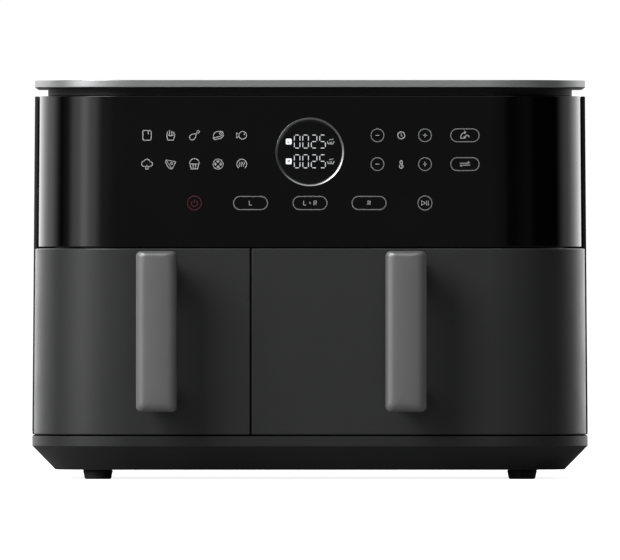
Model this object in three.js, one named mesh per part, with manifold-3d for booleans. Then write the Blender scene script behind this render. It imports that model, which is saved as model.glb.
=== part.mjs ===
// A twin-drawer air fryer: a narrow and a wide drawer side by side under one touch panel.
// Millimetres, +Z up, the front faces -Y. The origin is the middle of the footprint, on the
// surface that the feet stand on.

import * as THREE from 'three';
import { mergeVertices } from 'three/addons/utils/BufferGeometryUtils.js';
import Module from 'manifold-3d';

const wasm = await Module();
wasm.setup();

// ---------------------------------------------------------------- driving dimensions

// Casing
const WIDTH = 420; // across the casing at the foot of the drawers
const TAPER = 4; // how much narrower the casing is at the top of the panel
const BODY_DEPTH = 350; // drawer face to the back of the casing
const CORNER_FRONT = 74; // plan radius of the front corners
const CORNER_REAR = 50; // plan radius of the rear corners
const WALL = 3; // moulded walls
const SHEET = 1.5; // pressed steel
const GAP = 0.3; // between pieces that rest on or against each other

// Heights, from the table upwards
const FOOT_HEIGHT = 7;
const CHAMFER_HEIGHT = 18; // sloping skirt of the base
const CHAMFER_INSET = 17.5;
const BAND_HEIGHT = 7.5; // upright edge of the base
const REVEAL = 1; // dark line above the base and between panel and drawers
const DRAWER_HEIGHT = 140.5;
const PANEL_HEIGHT = 114;
const COLLAR_HEIGHT = 6.5; // recessed neck under the lid
const LID_THICKNESS = 5.5;

// Insets from the casing's outside
const DRAWER_INSET = 1.2; // drawer faces
const DRAWER_THICKNESS = 11.8; // of a drawer front, face to rear edge
const PANEL_INSET = 3.2; // glossy panel
const PANEL_SKIN = 2.5;
const COLLAR_INSET = 10;
const COLLAR_SKIN = 2.5;
const TOP_FLANGE = 16; // inner edge of the casing's top flange
const FRAME_INSET = 14.2; // outside of the front frame
const SHELF_INSET = 20; // inner edge of the base's front shelf

// Drawer layout
const SEAM_X = -44.5; // gap between the two drawer fronts
const SEAM_GAP = 1.2;
const SEAM_WALL = 6; // seam to the inside of each cooking space
const SIDE_SPACE = 25; // casing's top outside to the inside of a cooking space
const REAR_SPACE = 66; // cooking space to the inside of the casing's back
const FLOOR_SPACE = 6.5; // foot of the drawers to the floor of a cooking space
const ROOF_SPACE = 6; // roof of a cooking space to the top of the drawers

// Drawers
const HANDLE_REACH = 40; // drawer face to the front of the handle
const HANDLE_WIDTH = 31;
const HANDLE_HEIGHT = 121;
const HANDLE_THICKNESS = 15;
const HANDLE_EDGE = 3; // bevel along the grip's front and back
const HANDLE_CORNER = 4;
const HANDLE_SHIFT = { left: 1.4, right: 0 }; // from the middle of the cooking space
const HANDLE_DROP = 2; // handle's top below the drawer's top
const POST_WIDTH = 22;
const POST_HEIGHT = 16;
const POST_SETBACK = 4.5; // end of the grip to the post
const PAN_SIDE_CLEARANCE = 4; // pan wall to the side of the cooking space
const PAN_END_CLEARANCE = 6; // pan wall to the back of the cooking space
const PAN_SETBACK = 26; // casing's front to the pan's front wall
const PAN_TOP_CLEARANCE = 10; // pan rim to the roof of the cooking space
const PAN_WALL = 1.5;
const PAN_CORNER = 30;
const PAN_DRAFT = 3; // how far each wall leans in at the foot
const PAN_FILLET = 4;
const PAN_LIP = 2.5;
const RAIL_HEIGHT = 3.7;
const RAIL_WIDTH = 6;
const RAIL_INSET = 24; // side of the cooking space to a rail
const BOSS_MARGIN = 15; // pan's side to the boss that joins it to the front
const BOSS_FOOT = 15.7; // pan's underside to the boss
const BOSS_DROP = 8; // pan rim to the top of the boss

// Crisper plates
const PLATE_RAISE = 12.2; // pan floor to the underside of the plate
const PLATE_THICKNESS = 2;
const PLATE_CLEARANCE = 3.5; // plate edge to pan wall, filled by the pads
const PLATE_LEG_RADIUS = 4;
const FINGER_HOLE_RADIUS = 12;
const SLOT_LENGTH = 40;
const SLOT_WIDTH = 5;
const SLOT_PITCH_X = 16;
const SLOT_PITCH_Y = 54;
const SLOT_MARGIN = 12;
const PAD_LENGTH = 14;
const PAD_REACH = 4; // pad's grip over the plate
const PAD_HEIGHT = 8;

// Heating and air
const BAY_MARGIN = 10; // side of the cooking space to the round opening over it
const DISH_HEIGHT = 45;
const DISH_FLANGE = 7;
const HEATER_RADIUS = 3.25;
const HEATER_RISE = 8.7; // liner roof to the underside of the heater's coil
const HEATER_MARGIN = 8; // round opening's edge to the outer turn
const HEATER_TURN_RATIO = 0.62; // inner turn over outer turn
const TERMINAL_ANGLE = 8; // degrees, each side of the rear
const RETURN_ANGLE = 25; // degrees, where the outer turn folds back into the inner
const TERMINAL_HEIGHT = 10; // heater end above the dish
const GUARD_WIRE = 2;
const FAN_MARGIN = 16; // round opening's edge to the fan's tips
const FAN_MAX_RADIUS = 70;
const FAN_HEIGHT = 14;
const FAN_BLADES = 8;
const COOLING_FAN_RADIUS = 38;
const SHAFT_RADIUS = 4;
const MOTOR_RADIUS = 28;
const MOTOR_HEIGHT = 40;
const DECK_THICKNESS = 2;
const DECK_RISE = 4; // dish to the motor deck
const DECK_SIDE_INSET = 3.5;
const DECK_FRONT_INSET = 13;

// Panel
const DISPLAY_RADIUS = 25.85; // outside of the display's ring
const DISPLAY_HEIGHT = 71.6; // foot of the panel to the display's centre
const RING_WIDTH = 1.95;
const RING_PROUD = 0.8;
const RING_NECK = 1.2; // wall of the ring's neck, which fits the hole in the panel
const LENS_THICKNESS = 1.5;
const LENS_SETBACK = 0.6;
const BOARD_SETBACK = 9; // casing's front to the control board
const BOARD_THICKNESS = 1.6;
const BOARD_WIDTH = 256;
const BOARD_HEIGHT = 76;
const BOARD_RAISE = 21; // foot of the panel to the board
const BOARD_MARGIN = 5; // board's edge to the bosses that carry it
const KEY_PAD_RADIUS = 3.2;
const KEY_LOW_ROW = 33.2; // foot of the panel to the power, zone and start keys
const KEY_MID_ROW = 62.5;
const KEY_TOP_ROW = 84.2;
const FOOD_KEY_START = -122.8;
const FOOD_KEY_PITCH = 17.85;
const FOOD_KEY_COLUMNS = 5;
const ADJUST_KEY_COLUMNS = [50.8, 86.6, 116.7]; // less, more and shake keys
const LOW_KEY_COLUMNS = [-87.1, -44.8, 0, 44.5, 86.6];

// Rear and base fittings
const VENT_PROUD = 6;
const VENT_WIDTH = 64; // opening in the casing's back
const VENT_HEIGHT = 34;
const VENT_FLANGE = 6;
const VENT_BARS = 8;
const SPOUT_MARGIN = 2; // opening's edge to the outside of the exhaust spout
const GLAND_X = 140;
const GLAND_Z = 55;
const GLAND_RADIUS = 11;
const GLAND_NECK = 8.7;
const GLAND_BORE = 3.6;
const FOOT_TOP_RADIUS = 11.3;
const FOOT_BASE_RADIUS = 10;
const FOOT_STUD_RADIUS = 3;
const FOOT_SIDE = 50; // casing's side to a foot's centre
const FOOT_FRONT = 40;
const FOOT_BACK = 45;
const FOOT_SPREAD = 2.5; // how much further out the rear feet stand than the front ones

// Power board, on the inside of the casing's back
const POWER_BOARD_WIDTH = 90;
const POWER_BOARD_HEIGHT = 60;
const POWER_BOARD_X = 79;
const POWER_BOARD_RAISE = 16; // floor of the cooking spaces to the board
const POWER_BOARD_SPACE = 40; // board to the inside of the casing's back
const POWER_BOARD_MARGIN = 5; // board's edge to its posts
const POST_RADIUS = 3;
const TRANSFORMER = { x: -20, z: -9, width: 30, height: 26, depth: 20 };
const RELAY = { x: 10, z: -10, width: 14, height: 20, depth: 16 };
const CAPACITORS = [[25, 6], [-29, 5], [-13, 5]]; // place across the board, and radius
const CAPACITOR_DROP = 12; // board's top to the row of capacitors
const CAPACITOR_LENGTH = 18;

// Switches and probes
const SWITCH_WIDTH = 20;
const SWITCH_DEPTH = 10;
const SWITCH_HEIGHT = 7.7;
const PLUNGER_RADIUS = 1.2;
const PLUNGER_LENGTH = 8.7;
const PLUNGER_RISE = 3; // liner roof to the plunger's axis
const PROBE_RADIUS = 2.5;
const PROBE_INSET = 12;
const PROBE_SETBACK = 50;
const PROBE_LENGTH = 26;
const PROBE_DIP = 7; // below the roof of the cooking space

// Facets
const FRONT_FACETS = 6;
const REAR_FACETS = 4;
const PAN_FACETS = 4;
const FINE_FACETS = 32; // round parts that show, such as the display
const ROUND_FACETS = 24;
const SMALL_FACETS = 12;
const TINY_FACETS = 8;
const FAR = 1000; // beyond the object, for cuts that run right through

// ---------------------------------------------------------------- derived places

const WIDTH_TOP = WIDTH - TAPER;
const TOTAL_DEPTH = HANDLE_REACH + BODY_DEPTH + VENT_PROUD;
const Y_BACK = TOTAL_DEPTH / 2 - VENT_PROUD;
const Y_DRAWER = Y_BACK - BODY_DEPTH;
const Y_OUTER = Y_DRAWER - DRAWER_INSET;
const Y_PANEL = Y_OUTER + PANEL_INSET;
const Y_SEAM = Y_OUTER + CORNER_FRONT + 2; // casing's front edge, just behind its corners
const Y_CAVITY = Y_OUTER + FRAME_INSET + WALL + GAP;
const Y_CAVITY_BACK = Y_BACK - WALL - REAR_SPACE;
const Y_FAN = (Y_CAVITY + Y_CAVITY_BACK) / 2;
const Y_PAN = Y_OUTER + PAN_SETBACK;
const Y_PAN_BACK = Y_CAVITY_BACK - PAN_END_CLEARANCE;

const Z_SKIRT_TOP = FOOT_HEIGHT + CHAMFER_HEIGHT;
const Z_BASE_TOP = Z_SKIRT_TOP + BAND_HEIGHT;
const Z_DRAWER = Z_BASE_TOP + REVEAL;
const Z_DRAWER_TOP = Z_DRAWER + DRAWER_HEIGHT;
const Z_PANEL = Z_DRAWER_TOP + REVEAL;
const Z_PANEL_TOP = Z_PANEL + PANEL_HEIGHT;
const Z_COLLAR_TOP = Z_PANEL_TOP + COLLAR_HEIGHT;
const Z_TOP = Z_COLLAR_TOP + LID_THICKNESS;
const Z_FLOOR = Z_DRAWER + FLOOR_SPACE;
const Z_ROOF = Z_DRAWER_TOP - ROOF_SPACE;
const Z_LINER_TOP = Z_ROOF + SHEET;
const Z_FRAME_TOP = Z_PANEL + WALL + GAP;
const Z_PAN = Z_FLOOR + GAP + RAIL_HEIGHT + GAP;
const Z_PAN_TOP = Z_ROOF - PAN_TOP_CLEARANCE;
const Z_PLATE = Z_PAN + PAN_WALL + PLATE_RAISE;
const Z_DISH = Z_LINER_TOP + GAP;
const Z_DISH_TOP = Z_DISH + DISH_HEIGHT;
const Z_HEATER = Z_LINER_TOP + HEATER_RISE;
const Z_FAN = Z_DISH_TOP - SHEET - 7.5 - FAN_HEIGHT;
const Z_DECK = Z_DISH_TOP + DECK_RISE;
const Z_MOTOR = Z_DECK + DECK_THICKNESS + GAP;
const Z_COOLING_FAN = Z_MOTOR + MOTOR_HEIGHT + 4;
const Z_DISPLAY = Z_PANEL + DISPLAY_HEIGHT;
const Z_SWITCH = Z_LINER_TOP + PLUNGER_RISE;
const Z_HANDLE = Z_DRAWER_TOP - HANDLE_DROP - HANDLE_HEIGHT / 2;
const Z_VENT = Z_ROOF - 23;

function makeZone(side, x0, x1, outward) {
  const width = x1 - x0;
  const depth = Y_CAVITY_BACK - Y_CAVITY;
  const bayBySide = width / 2 - BAY_MARGIN;
  const bayByDepth = depth / 2 - SWITCH_DEPTH - DISH_FLANGE - 1;
  return {
    side,
    x0,
    x1,
    outward, // -1 for the left cooking space, 1 for the right one
    width,
    centre: (x0 + x1) / 2,
    bay: Math.min(bayBySide, bayByDepth), // radius of the round opening over the space
  };
}

const ZONES = [
  makeZone('left', -WIDTH_TOP / 2 + SIDE_SPACE, SEAM_X - SEAM_WALL, -1),
  makeZone('right', SEAM_X + SEAM_WALL, WIDTH_TOP / 2 - SIDE_SPACE, 1),
];

// ---------------------------------------------------------------- finishes

const BLACK_PLASTIC = { color: 0x232425, roughness: 0.45, metalness: 0 };
const DRAWER_PLASTIC = { color: 0x323335, roughness: 0.42, metalness: 0 };
const HANDLE_PLASTIC = { color: 0x6a6a6b, roughness: 0.38, metalness: 0.3 };
const GLOSS_PANEL = { color: 0x0a0a0b, roughness: 0.06, metalness: 0 };
const LID_METAL = { color: 0x8c8d8e, roughness: 0.3, metalness: 0.9 };
const CHROME = { color: 0xb8babd, roughness: 0.15, metalness: 1 };
const LENS = { color: 0x08090b, roughness: 0.04, metalness: 0 };
const RUBBER = { color: 0x0d0d0d, roughness: 0.8, metalness: 0 };
const CIRCUIT_BOARD = { color: 0x14512b, roughness: 0.5, metalness: 0 };
const GALVANISED = { color: 0x9fa2a3, roughness: 0.4, metalness: 0.9 };
const NON_STICK = { color: 0x29292a, roughness: 0.35, metalness: 0.3 };
const SILICONE = { color: 0x3a3a3a, roughness: 0.7, metalness: 0 };
const HEATER_STEEL = { color: 0x55524e, roughness: 0.5, metalness: 0.9 };
const MOTOR_STEEL = { color: 0x808488, roughness: 0.4, metalness: 0.8 };
const SWITCH_RED = { color: 0x8a1d1a, roughness: 0.5, metalness: 0 };

// ---------------------------------------------------------------- solids

function manifoldFrom(positions, indices) {
  const kept = [];
  for (let i = 0; i < indices.length; i += 3) {
    const [a, b, c] = [indices[i], indices[i + 1], indices[i + 2]];
    if (a !== b && b !== c && c !== a) {
      kept.push(a, b, c);
    }
  }
  const vertProperties = new Float32Array(positions);
  const solid = new wasm.Manifold(
    new wasm.Mesh({ numProp: 3, vertProperties, triVerts: new Uint32Array(kept) }),
  );
  if (solid.volume() > 0) {
    return solid;
  }
  return new wasm.Manifold(
    new wasm.Mesh({ numProp: 3, vertProperties, triVerts: new Uint32Array(kept.reverse()) }),
  );
}

function solidOf(geometry) {
  const bare = geometry.clone();
  bare.deleteAttribute('normal');
  bare.deleteAttribute('uv');
  const merged = mergeVertices(bare, 1e-4);
  return manifoldFrom(merged.attributes.position.array, merged.index.array);
}

function geometryOf(solid) {
  const mesh = solid.getMesh();
  const geometry = new THREE.BufferGeometry();
  geometry.setAttribute('position', new THREE.BufferAttribute(mesh.vertProperties, 3));
  geometry.setIndex(new THREE.BufferAttribute(mesh.triVerts, 1));
  geometry.computeVertexNormals();
  return geometry;
}

function addPart(parent, name, solid, finish, position = [0, 0, 0]) {
  const mesh = new THREE.Mesh(geometryOf(solid), new THREE.MeshStandardMaterial(finish));
  mesh.name = name;
  mesh.position.set(...position);
  parent.add(mesh);
}

function around(middle, size) {
  return [middle - size / 2, middle + size / 2];
}

function box([x0, x1], [y0, y1], [z0, z1]) {
  const geometry = new THREE.BoxGeometry(x1 - x0, y1 - y0, z1 - z0);
  geometry.translate((x0 + x1) / 2, (y0 + y1) / 2, (z0 + z1) / 2);
  return solidOf(geometry);
}

function inFrontOf(y) {
  return box([-FAR, FAR], [-FAR, y], [-FAR, FAR]);
}

function behind(y) {
  return box([-FAR, FAR], [y, FAR], [-FAR, FAR]);
}

function upright(radius, [z0, z1], x = 0, y = 0, sides = ROUND_FACETS) {
  const geometry = new THREE.CylinderGeometry(radius, radius, z1 - z0, sides);
  geometry.rotateX(Math.PI / 2);
  geometry.translate(x, y, (z0 + z1) / 2);
  return solidOf(geometry);
}

function lengthwise(radius, [y0, y1], x, z, sides = SMALL_FACETS) {
  const geometry = new THREE.CylinderGeometry(radius, radius, y1 - y0, sides);
  geometry.translate(x, (y0 + y1) / 2, z);
  return solidOf(geometry);
}

// Turns a profile of [radius, height] points about the Z axis.
function turned(profile, sides = ROUND_FACETS) {
  const geometry = new THREE.LatheGeometry(profile.map(([r, z]) => new THREE.Vector2(r, z)), sides);
  geometry.rotateX(Math.PI / 2);
  return solidOf(geometry);
}

// Turns a closed profile of [radius, distance along Y] points about the Y axis.
function turnedLengthwise(profile, sides = ROUND_FACETS) {
  const points = profile.map(([r, y]) => new THREE.Vector2(r, y));
  return solidOf(new THREE.LatheGeometry(points, sides));
}

// A closed loop for turned(): the profile with its first point repeated at the end.
function closed(profile) {
  return [...profile, profile[0]];
}

function roundedOutline([x0, x1], [y0, y1], frontRadius, rearRadius, frontFacets, rearFacets) {
  const corners = [
    [x1 - frontRadius, y0 + frontRadius, frontRadius, frontFacets, -90],
    [x1 - rearRadius, y1 - rearRadius, rearRadius, rearFacets, 0],
    [x0 + rearRadius, y1 - rearRadius, rearRadius, rearFacets, 90],
    [x0 + frontRadius, y0 + frontRadius, frontRadius, frontFacets, 180],
  ];
  const outline = [];
  for (const [x, y, radius, facets, start] of corners) {
    for (let i = 0; i <= facets; i++) {
      const angle = THREE.MathUtils.degToRad(start + (90 * i) / facets);
      outline.push(new THREE.Vector2(x + radius * Math.cos(angle), y + radius * Math.sin(angle)));
    }
  }
  return outline;
}

// Joins outlines with the same number of points, each at its own height, into one solid.
function loft(sections) {
  const count = sections[0].outline.length;
  const positions = sections.flatMap(({ outline, z }) => outline.flatMap(({ x, y }) => [x, y, z]));
  const indices = [];
  for (let level = 0; level < sections.length - 1; level++) {
    for (let i = 0; i < count; i++) {
      const a = level * count + i;
      const b = level * count + ((i + 1) % count);
      indices.push(a, b, b + count, a, b + count, a + count);
    }
  }
  const top = (sections.length - 1) * count;
  for (const [a, b, c] of THREE.ShapeUtils.triangulateShape(sections[0].outline, [])) {
    indices.push(c, b, a, top + a, top + b, top + c);
  }
  return manifoldFrom(positions, indices);
}

// ---------------------------------------------------------------- casing outline

function halfWidth(z) {
  const rise = THREE.MathUtils.clamp((z - Z_DRAWER) / (Z_PANEL_TOP - Z_DRAWER), 0, 1);
  return THREE.MathUtils.lerp(WIDTH, WIDTH_TOP, rise) / 2;
}

function casingSection(z, inset) {
  const half = halfWidth(z) - inset;
  const outline = roundedOutline(
    [-half, half],
    [Y_OUTER + inset, Y_BACK - inset],
    CORNER_FRONT - inset,
    CORNER_REAR - inset,
    FRONT_FACETS,
    REAR_FACETS,
  );
  return { outline, z };
}

// The whole inside of the casing's outline, moved in by an inset.
function casingBlock(inset, [z0, z1]) {
  return loft([casingSection(z0, inset), casingSection(z1, inset)]);
}

// A wall that follows the casing between two insets.
function casingWall(outerInset, innerInset, [z0, z1]) {
  return casingBlock(outerInset, [z0, z1]).subtract(casingBlock(innerInset, [z0 - 1, z1 + 1]));
}

// ---------------------------------------------------------------- casing parts

function outerShell() {
  const inside = casingBlock(WALL, [Z_DRAWER - 1, Z_PANEL_TOP - WALL]);
  const mouth = casingBlock(TOP_FLANGE, [Z_PANEL_TOP - WALL - 1, Z_PANEL_TOP + 1]);
  const shelf = casingWall(WALL - 1, WALL + 5, [Z_DECK - GAP - WALL, Z_DECK - GAP]);
  let shell = casingBlock(0, [Z_DRAWER, Z_PANEL_TOP]).subtract(inside).subtract(mouth);
  shell = shell.add(shelf).intersect(behind(Y_SEAM));
  for (const zone of ZONES) {
    shell = shell.subtract(
      box(around(zone.centre, VENT_WIDTH), [Y_BACK - 2 * WALL, FAR], around(Z_VENT, VENT_HEIGHT)),
    );
  }
  const glandHole = lengthwise(GLAND_NECK + GAP, [Y_BACK - 2 * WALL, Y_BACK + 1], GLAND_X, GLAND_Z, 16);
  return shell.subtract(glandHole);
}

function baseTray() {
  const outside = loft([
    casingSection(FOOT_HEIGHT, CHAMFER_INSET),
    casingSection(Z_SKIRT_TOP, 0),
    casingSection(Z_BASE_TOP, 0),
  ]);
  const inside = loft([
    casingSection(FOOT_HEIGHT + WALL, CHAMFER_INSET + 1.3),
    casingSection(Z_SKIRT_TOP + 1, WALL),
    casingSection(Z_BASE_TOP + 1, WALL),
  ]);
  const frontShelf = casingWall(WALL - 0.5, SHELF_INSET, [Z_BASE_TOP - 2.5, Z_BASE_TOP]);
  const rearLip = casingWall(WALL + GAP, WALL + 2.5, [Z_SKIRT_TOP - 1, Z_DRAWER + 6]);
  const lipRoot = casingWall(WALL - 0.5, WALL + 2.5, [Z_SKIRT_TOP - 1, Z_BASE_TOP]);
  const rear = behind(Y_SEAM + WALL + GAP);
  let tray = outside.subtract(inside);
  tray = tray.add(frontShelf.intersect(inFrontOf(Y_SEAM + WALL)));
  tray = tray.add(rearLip.intersect(rear)).add(lipRoot.intersect(rear));
  for (const zone of ZONES) {
    for (const y of [Y_CAVITY + 45, Y_CAVITY_BACK - 40]) {
      const height = [FOOT_HEIGHT + WALL / 2, Z_FLOOR - SHEET - GAP];
      tray = tray.add(box([zone.x0, zone.x1], around(y, WALL), height));
    }
    for (let row = -2; row <= 2; row++) {
      const y = Y_FAN + row * 14;
      const slot = box(around(zone.centre, zone.width * 0.55), around(y, 4), [-FAR, Z_SKIRT_TOP / 2]);
      tray = tray.subtract(slot);
    }
  }
  for (const [x, y] of footPlaces()) {
    tray = tray.subtract(upright(FOOT_STUD_RADIUS + GAP, [0, Z_SKIRT_TOP / 2], x, y, 16));
  }
  return tray;
}

function footPlaces() {
  const x = WIDTH / 2 - FOOT_SIDE;
  const front = Y_OUTER + FOOT_FRONT;
  const back = Y_BACK - FOOT_BACK;
  const rearX = x + FOOT_SPREAD;
  return [[-x, front], [x, front], [-rearX, back], [rearX, back]];
}

function foot() {
  return turned([
    [0, 0],
    [FOOT_BASE_RADIUS, 0],
    [FOOT_TOP_RADIUS, FOOT_HEIGHT - GAP],
    [FOOT_STUD_RADIUS, FOOT_HEIGHT - GAP],
    [FOOT_STUD_RADIUS, FOOT_HEIGHT + WALL + 1],
    [0, FOOT_HEIGHT + WALL + 2],
  ], 16);
}

function intakeCollar() {
  const [z0, z1] = [Z_PANEL_TOP + GAP, Z_COLLAR_TOP - GAP];
  let collar = casingWall(COLLAR_INSET, COLLAR_INSET + COLLAR_SKIN, [z0, z1]);
  const slotHeight = [z0 + 1.2, z1 - 1.2];
  const reach = WIDTH_TOP / 2 - CORNER_REAR - 10;
  for (let i = 0; i < 7; i++) {
    const x = THREE.MathUtils.lerp(-reach, reach, i / 6);
    const rearWall = [Y_BACK - COLLAR_INSET - 2 * COLLAR_SKIN, Y_BACK];
    collar = collar.subtract(box(around(x, 22), rearWall, slotHeight));
  }
  for (let i = 0; i < 3; i++) {
    const y = THREE.MathUtils.lerp(Y_SEAM + 40, Y_BACK - CORNER_REAR - 25, i / 2);
    for (const side of [-1, 1]) {
      const x = side * (WIDTH_TOP / 2 - COLLAR_INSET);
      collar = collar.subtract(box(around(x, 4 * COLLAR_SKIN), around(y, 22), slotHeight));
    }
  }
  return collar;
}

function topLid() {
  const plate = loft([
    casingSection(Z_COLLAR_TOP, 0.5),
    casingSection(Z_COLLAR_TOP + 0.5, 0),
    casingSection(Z_TOP - 0.5, 0),
    casingSection(Z_TOP, 0.5),
  ]);
  const inner = COLLAR_INSET + COLLAR_SKIN + GAP;
  return plate.add(casingWall(inner, inner + 2, [Z_PANEL_TOP + 1, Z_COLLAR_TOP + 1]));
}

function frontFrame() {
  const height = [Z_DRAWER + 0.5, Z_FRAME_TOP];
  const rear = FRAME_INSET + WALL;
  const core = casingWall(FRAME_INSET, rear, height).intersect(inFrontOf(Y_SEAM + WALL));
  const ledge = casingWall(PANEL_INSET + WALL, rear, [Z_PANEL + 0.5, Z_FRAME_TOP]);
  const flange = casingWall(WALL + GAP, rear, height);
  let frame = core.add(ledge.intersect(inFrontOf(Y_SEAM + WALL)));
  frame = frame.add(flange.intersect(behind(Y_SEAM)).intersect(inFrontOf(Y_SEAM + WALL)));
  for (const zone of ZONES) {
    const window = box([zone.x0, zone.x1], [-FAR, Y_SEAM - 4], [Z_FLOOR + 1, Z_ROOF - 2]);
    frame = frame.subtract(window);
    const plungerHole = [Y_OUTER + FRAME_INSET - 1, Y_CAVITY + 1];
    const hole = lengthwise(PLUNGER_RADIUS + 0.4, plungerHole, zone.centre, Z_SWITCH, TINY_FACETS);
    frame = frame.subtract(hole);
  }
  return frame;
}

function motorDeck() {
  const height = [Z_DECK, Z_DECK + DECK_THICKNESS];
  const behindEdge = behind(Y_SEAM + 1);
  let deck = casingBlock(DECK_SIDE_INSET, height).intersect(behindEdge);
  deck = deck.add(casingBlock(DECK_FRONT_INSET, height));
  for (const zone of ZONES) {
    const through = [Z_DECK - 1, Z_DECK + DECK_THICKNESS + 1];
    deck = deck.subtract(upright(SHAFT_RADIUS + 6, through, zone.centre, Y_FAN, SMALL_FACETS));
    for (const [x, y] of terminalPlaces(zone)) {
      deck = deck.subtract(upright(HEATER_RADIUS + 2, through, zone.centre + x, Y_FAN + y, TINY_FACETS));
    }
    for (const corner of [-1, 1]) {
      const x = zone.centre + corner * zone.width * 0.32;
      deck = deck.subtract(box(around(x, 12), around(Y_CAVITY + 40, 30), through));
    }
  }
  return deck;
}

// ---------------------------------------------------------------- panel parts

function controlPanel() {
  const inner = PANEL_INSET + PANEL_SKIN;
  const inside = casingBlock(inner, [Z_PANEL - 1, Z_PANEL_TOP - PANEL_SKIN]);
  const mouth = casingBlock(TOP_FLANGE, [Z_PANEL, Z_PANEL_TOP + 1]);
  let panel = casingBlock(PANEL_INSET, [Z_PANEL, Z_PANEL_TOP]).subtract(inside).subtract(mouth);
  panel = panel.intersect(inFrontOf(Y_SEAM - 0.5));
  const boss = [Y_OUTER + inner - 1, Y_OUTER + BOARD_SETBACK - GAP];
  const bossX = BOARD_WIDTH / 2 - BOARD_MARGIN;
  for (const x of [-bossX, bossX]) {
    for (const z of around(Z_PANEL + BOARD_RAISE + BOARD_HEIGHT / 2, BOARD_HEIGHT - 2 * BOARD_MARGIN)) {
      panel = panel.add(lengthwise(POST_RADIUS, boss, x, z, TINY_FACETS));
    }
  }
  const displayHole = [Y_PANEL - 1, Y_OUTER + inner + 1];
  const radius = DISPLAY_RADIUS - RING_WIDTH + RING_NECK + GAP;
  return panel.subtract(lengthwise(radius, displayHole, 0, Z_DISPLAY, FINE_FACETS));
}

// Turned about the display's axis; negative distances stand proud of the panel.
function displayRing() {
  const bore = DISPLAY_RADIUS - RING_WIDTH;
  return turnedLengthwise(closed([
    [DISPLAY_RADIUS, -GAP],
    [DISPLAY_RADIUS, -RING_PROUD],
    [bore + LENS_SETBACK + RING_PROUD, -RING_PROUD],
    [bore, LENS_SETBACK],
    [bore, PANEL_SKIN + 0.5],
    [bore + RING_NECK, PANEL_SKIN + 0.5],
    [bore + RING_NECK, -GAP],
  ]), FINE_FACETS);
}

function displayLens() {
  const radius = DISPLAY_RADIUS - RING_WIDTH - GAP;
  return lengthwise(radius, [LENS_SETBACK, LENS_SETBACK + LENS_THICKNESS], 0, 0, FINE_FACETS);
}

function controlBoard() {
  const front = Y_OUTER + BOARD_SETBACK;
  const height = [Z_PANEL + BOARD_RAISE, Z_PANEL + BOARD_RAISE + BOARD_HEIGHT];
  let board = box(around(0, BOARD_WIDTH), [front, front + BOARD_THICKNESS], height);
  const moduleFront = Y_PANEL + LENS_SETBACK + LENS_THICKNESS + GAP;
  const moduleRadius = DISPLAY_RADIUS - RING_WIDTH - 2;
  board = board.add(lengthwise(moduleRadius, [moduleFront, front + 0.5], 0, Z_DISPLAY, ROUND_FACETS));
  const pad = [Y_OUTER + PANEL_INSET + PANEL_SKIN + GAP, front + 0.5];
  for (const [x, z] of keyPlaces()) {
    board = board.add(lengthwise(KEY_PAD_RADIUS, pad, x, z, 6));
  }
  return board;
}

// Centres of the touch keys: food keys left of the display, time and heat keys right of it,
// and a row of power, zone and start keys below.
function keyPlaces() {
  const upperColumns = [...ADJUST_KEY_COLUMNS];
  for (let column = 0; column < FOOD_KEY_COLUMNS; column++) {
    upperColumns.push(FOOD_KEY_START + column * FOOD_KEY_PITCH);
  }
  const upper = [KEY_MID_ROW, KEY_TOP_ROW].flatMap((row) => upperColumns.map((x) => [x, row]));
  const lower = LOW_KEY_COLUMNS.map((x) => [x, KEY_LOW_ROW]);
  return [...upper, ...lower].map(([x, row]) => [x, Z_PANEL + row]);
}

// ---------------------------------------------------------------- rear parts

function powerBoard() {
  const face = Y_BACK - WALL - POWER_BOARD_SPACE;
  const middle = Z_FLOOR + POWER_BOARD_RAISE + POWER_BOARD_HEIGHT / 2;
  const [x, z] = [around(POWER_BOARD_X, POWER_BOARD_WIDTH), around(middle, POWER_BOARD_HEIGHT)];
  let board = box(x, [face, face + BOARD_THICKNESS], z);
  for (const part of [TRANSFORMER, RELAY]) {
    const across = around(POWER_BOARD_X + part.x, part.width);
    board = board.add(box(across, [face - part.depth, face + 0.5], around(middle + part.z, part.height)));
  }
  for (const [offset, radius] of CAPACITORS) {
    const length = [face - CAPACITOR_LENGTH, face + 0.5];
    board = board.add(lengthwise(radius, length, POWER_BOARD_X + offset, z[1] - CAPACITOR_DROP));
  }
  const posts = [face + 0.5, Y_BACK - WALL - GAP];
  for (const postX of [x[0] + POWER_BOARD_MARGIN, x[1] - POWER_BOARD_MARGIN]) {
    for (const postZ of [z[0] + POWER_BOARD_MARGIN, z[1] - POWER_BOARD_MARGIN]) {
      board = board.add(lengthwise(POST_RADIUS, posts, postX, postZ, TINY_FACETS));
    }
  }
  return board;
}

function rearGrille() {
  const [width, height] = [VENT_WIDTH - 2 * GAP, VENT_HEIGHT - 2 * GAP];
  const flange = box(
    around(0, VENT_WIDTH + 2 * VENT_FLANGE),
    [GAP, VENT_PROUD],
    around(0, VENT_HEIGHT + 2 * VENT_FLANGE),
  );
  let grille = flange.add(box(around(0, width), [-WALL, 1], around(0, height)));
  const pitch = (height - 4) / VENT_BARS;
  for (let i = 0; i < VENT_BARS; i++) {
    const z = -height / 2 + 2 + (i + 0.5) * pitch;
    grille = grille.subtract(box(around(0, width - 6), [-FAR, FAR], around(z, pitch - 1.6)));
  }
  return grille;
}

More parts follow.
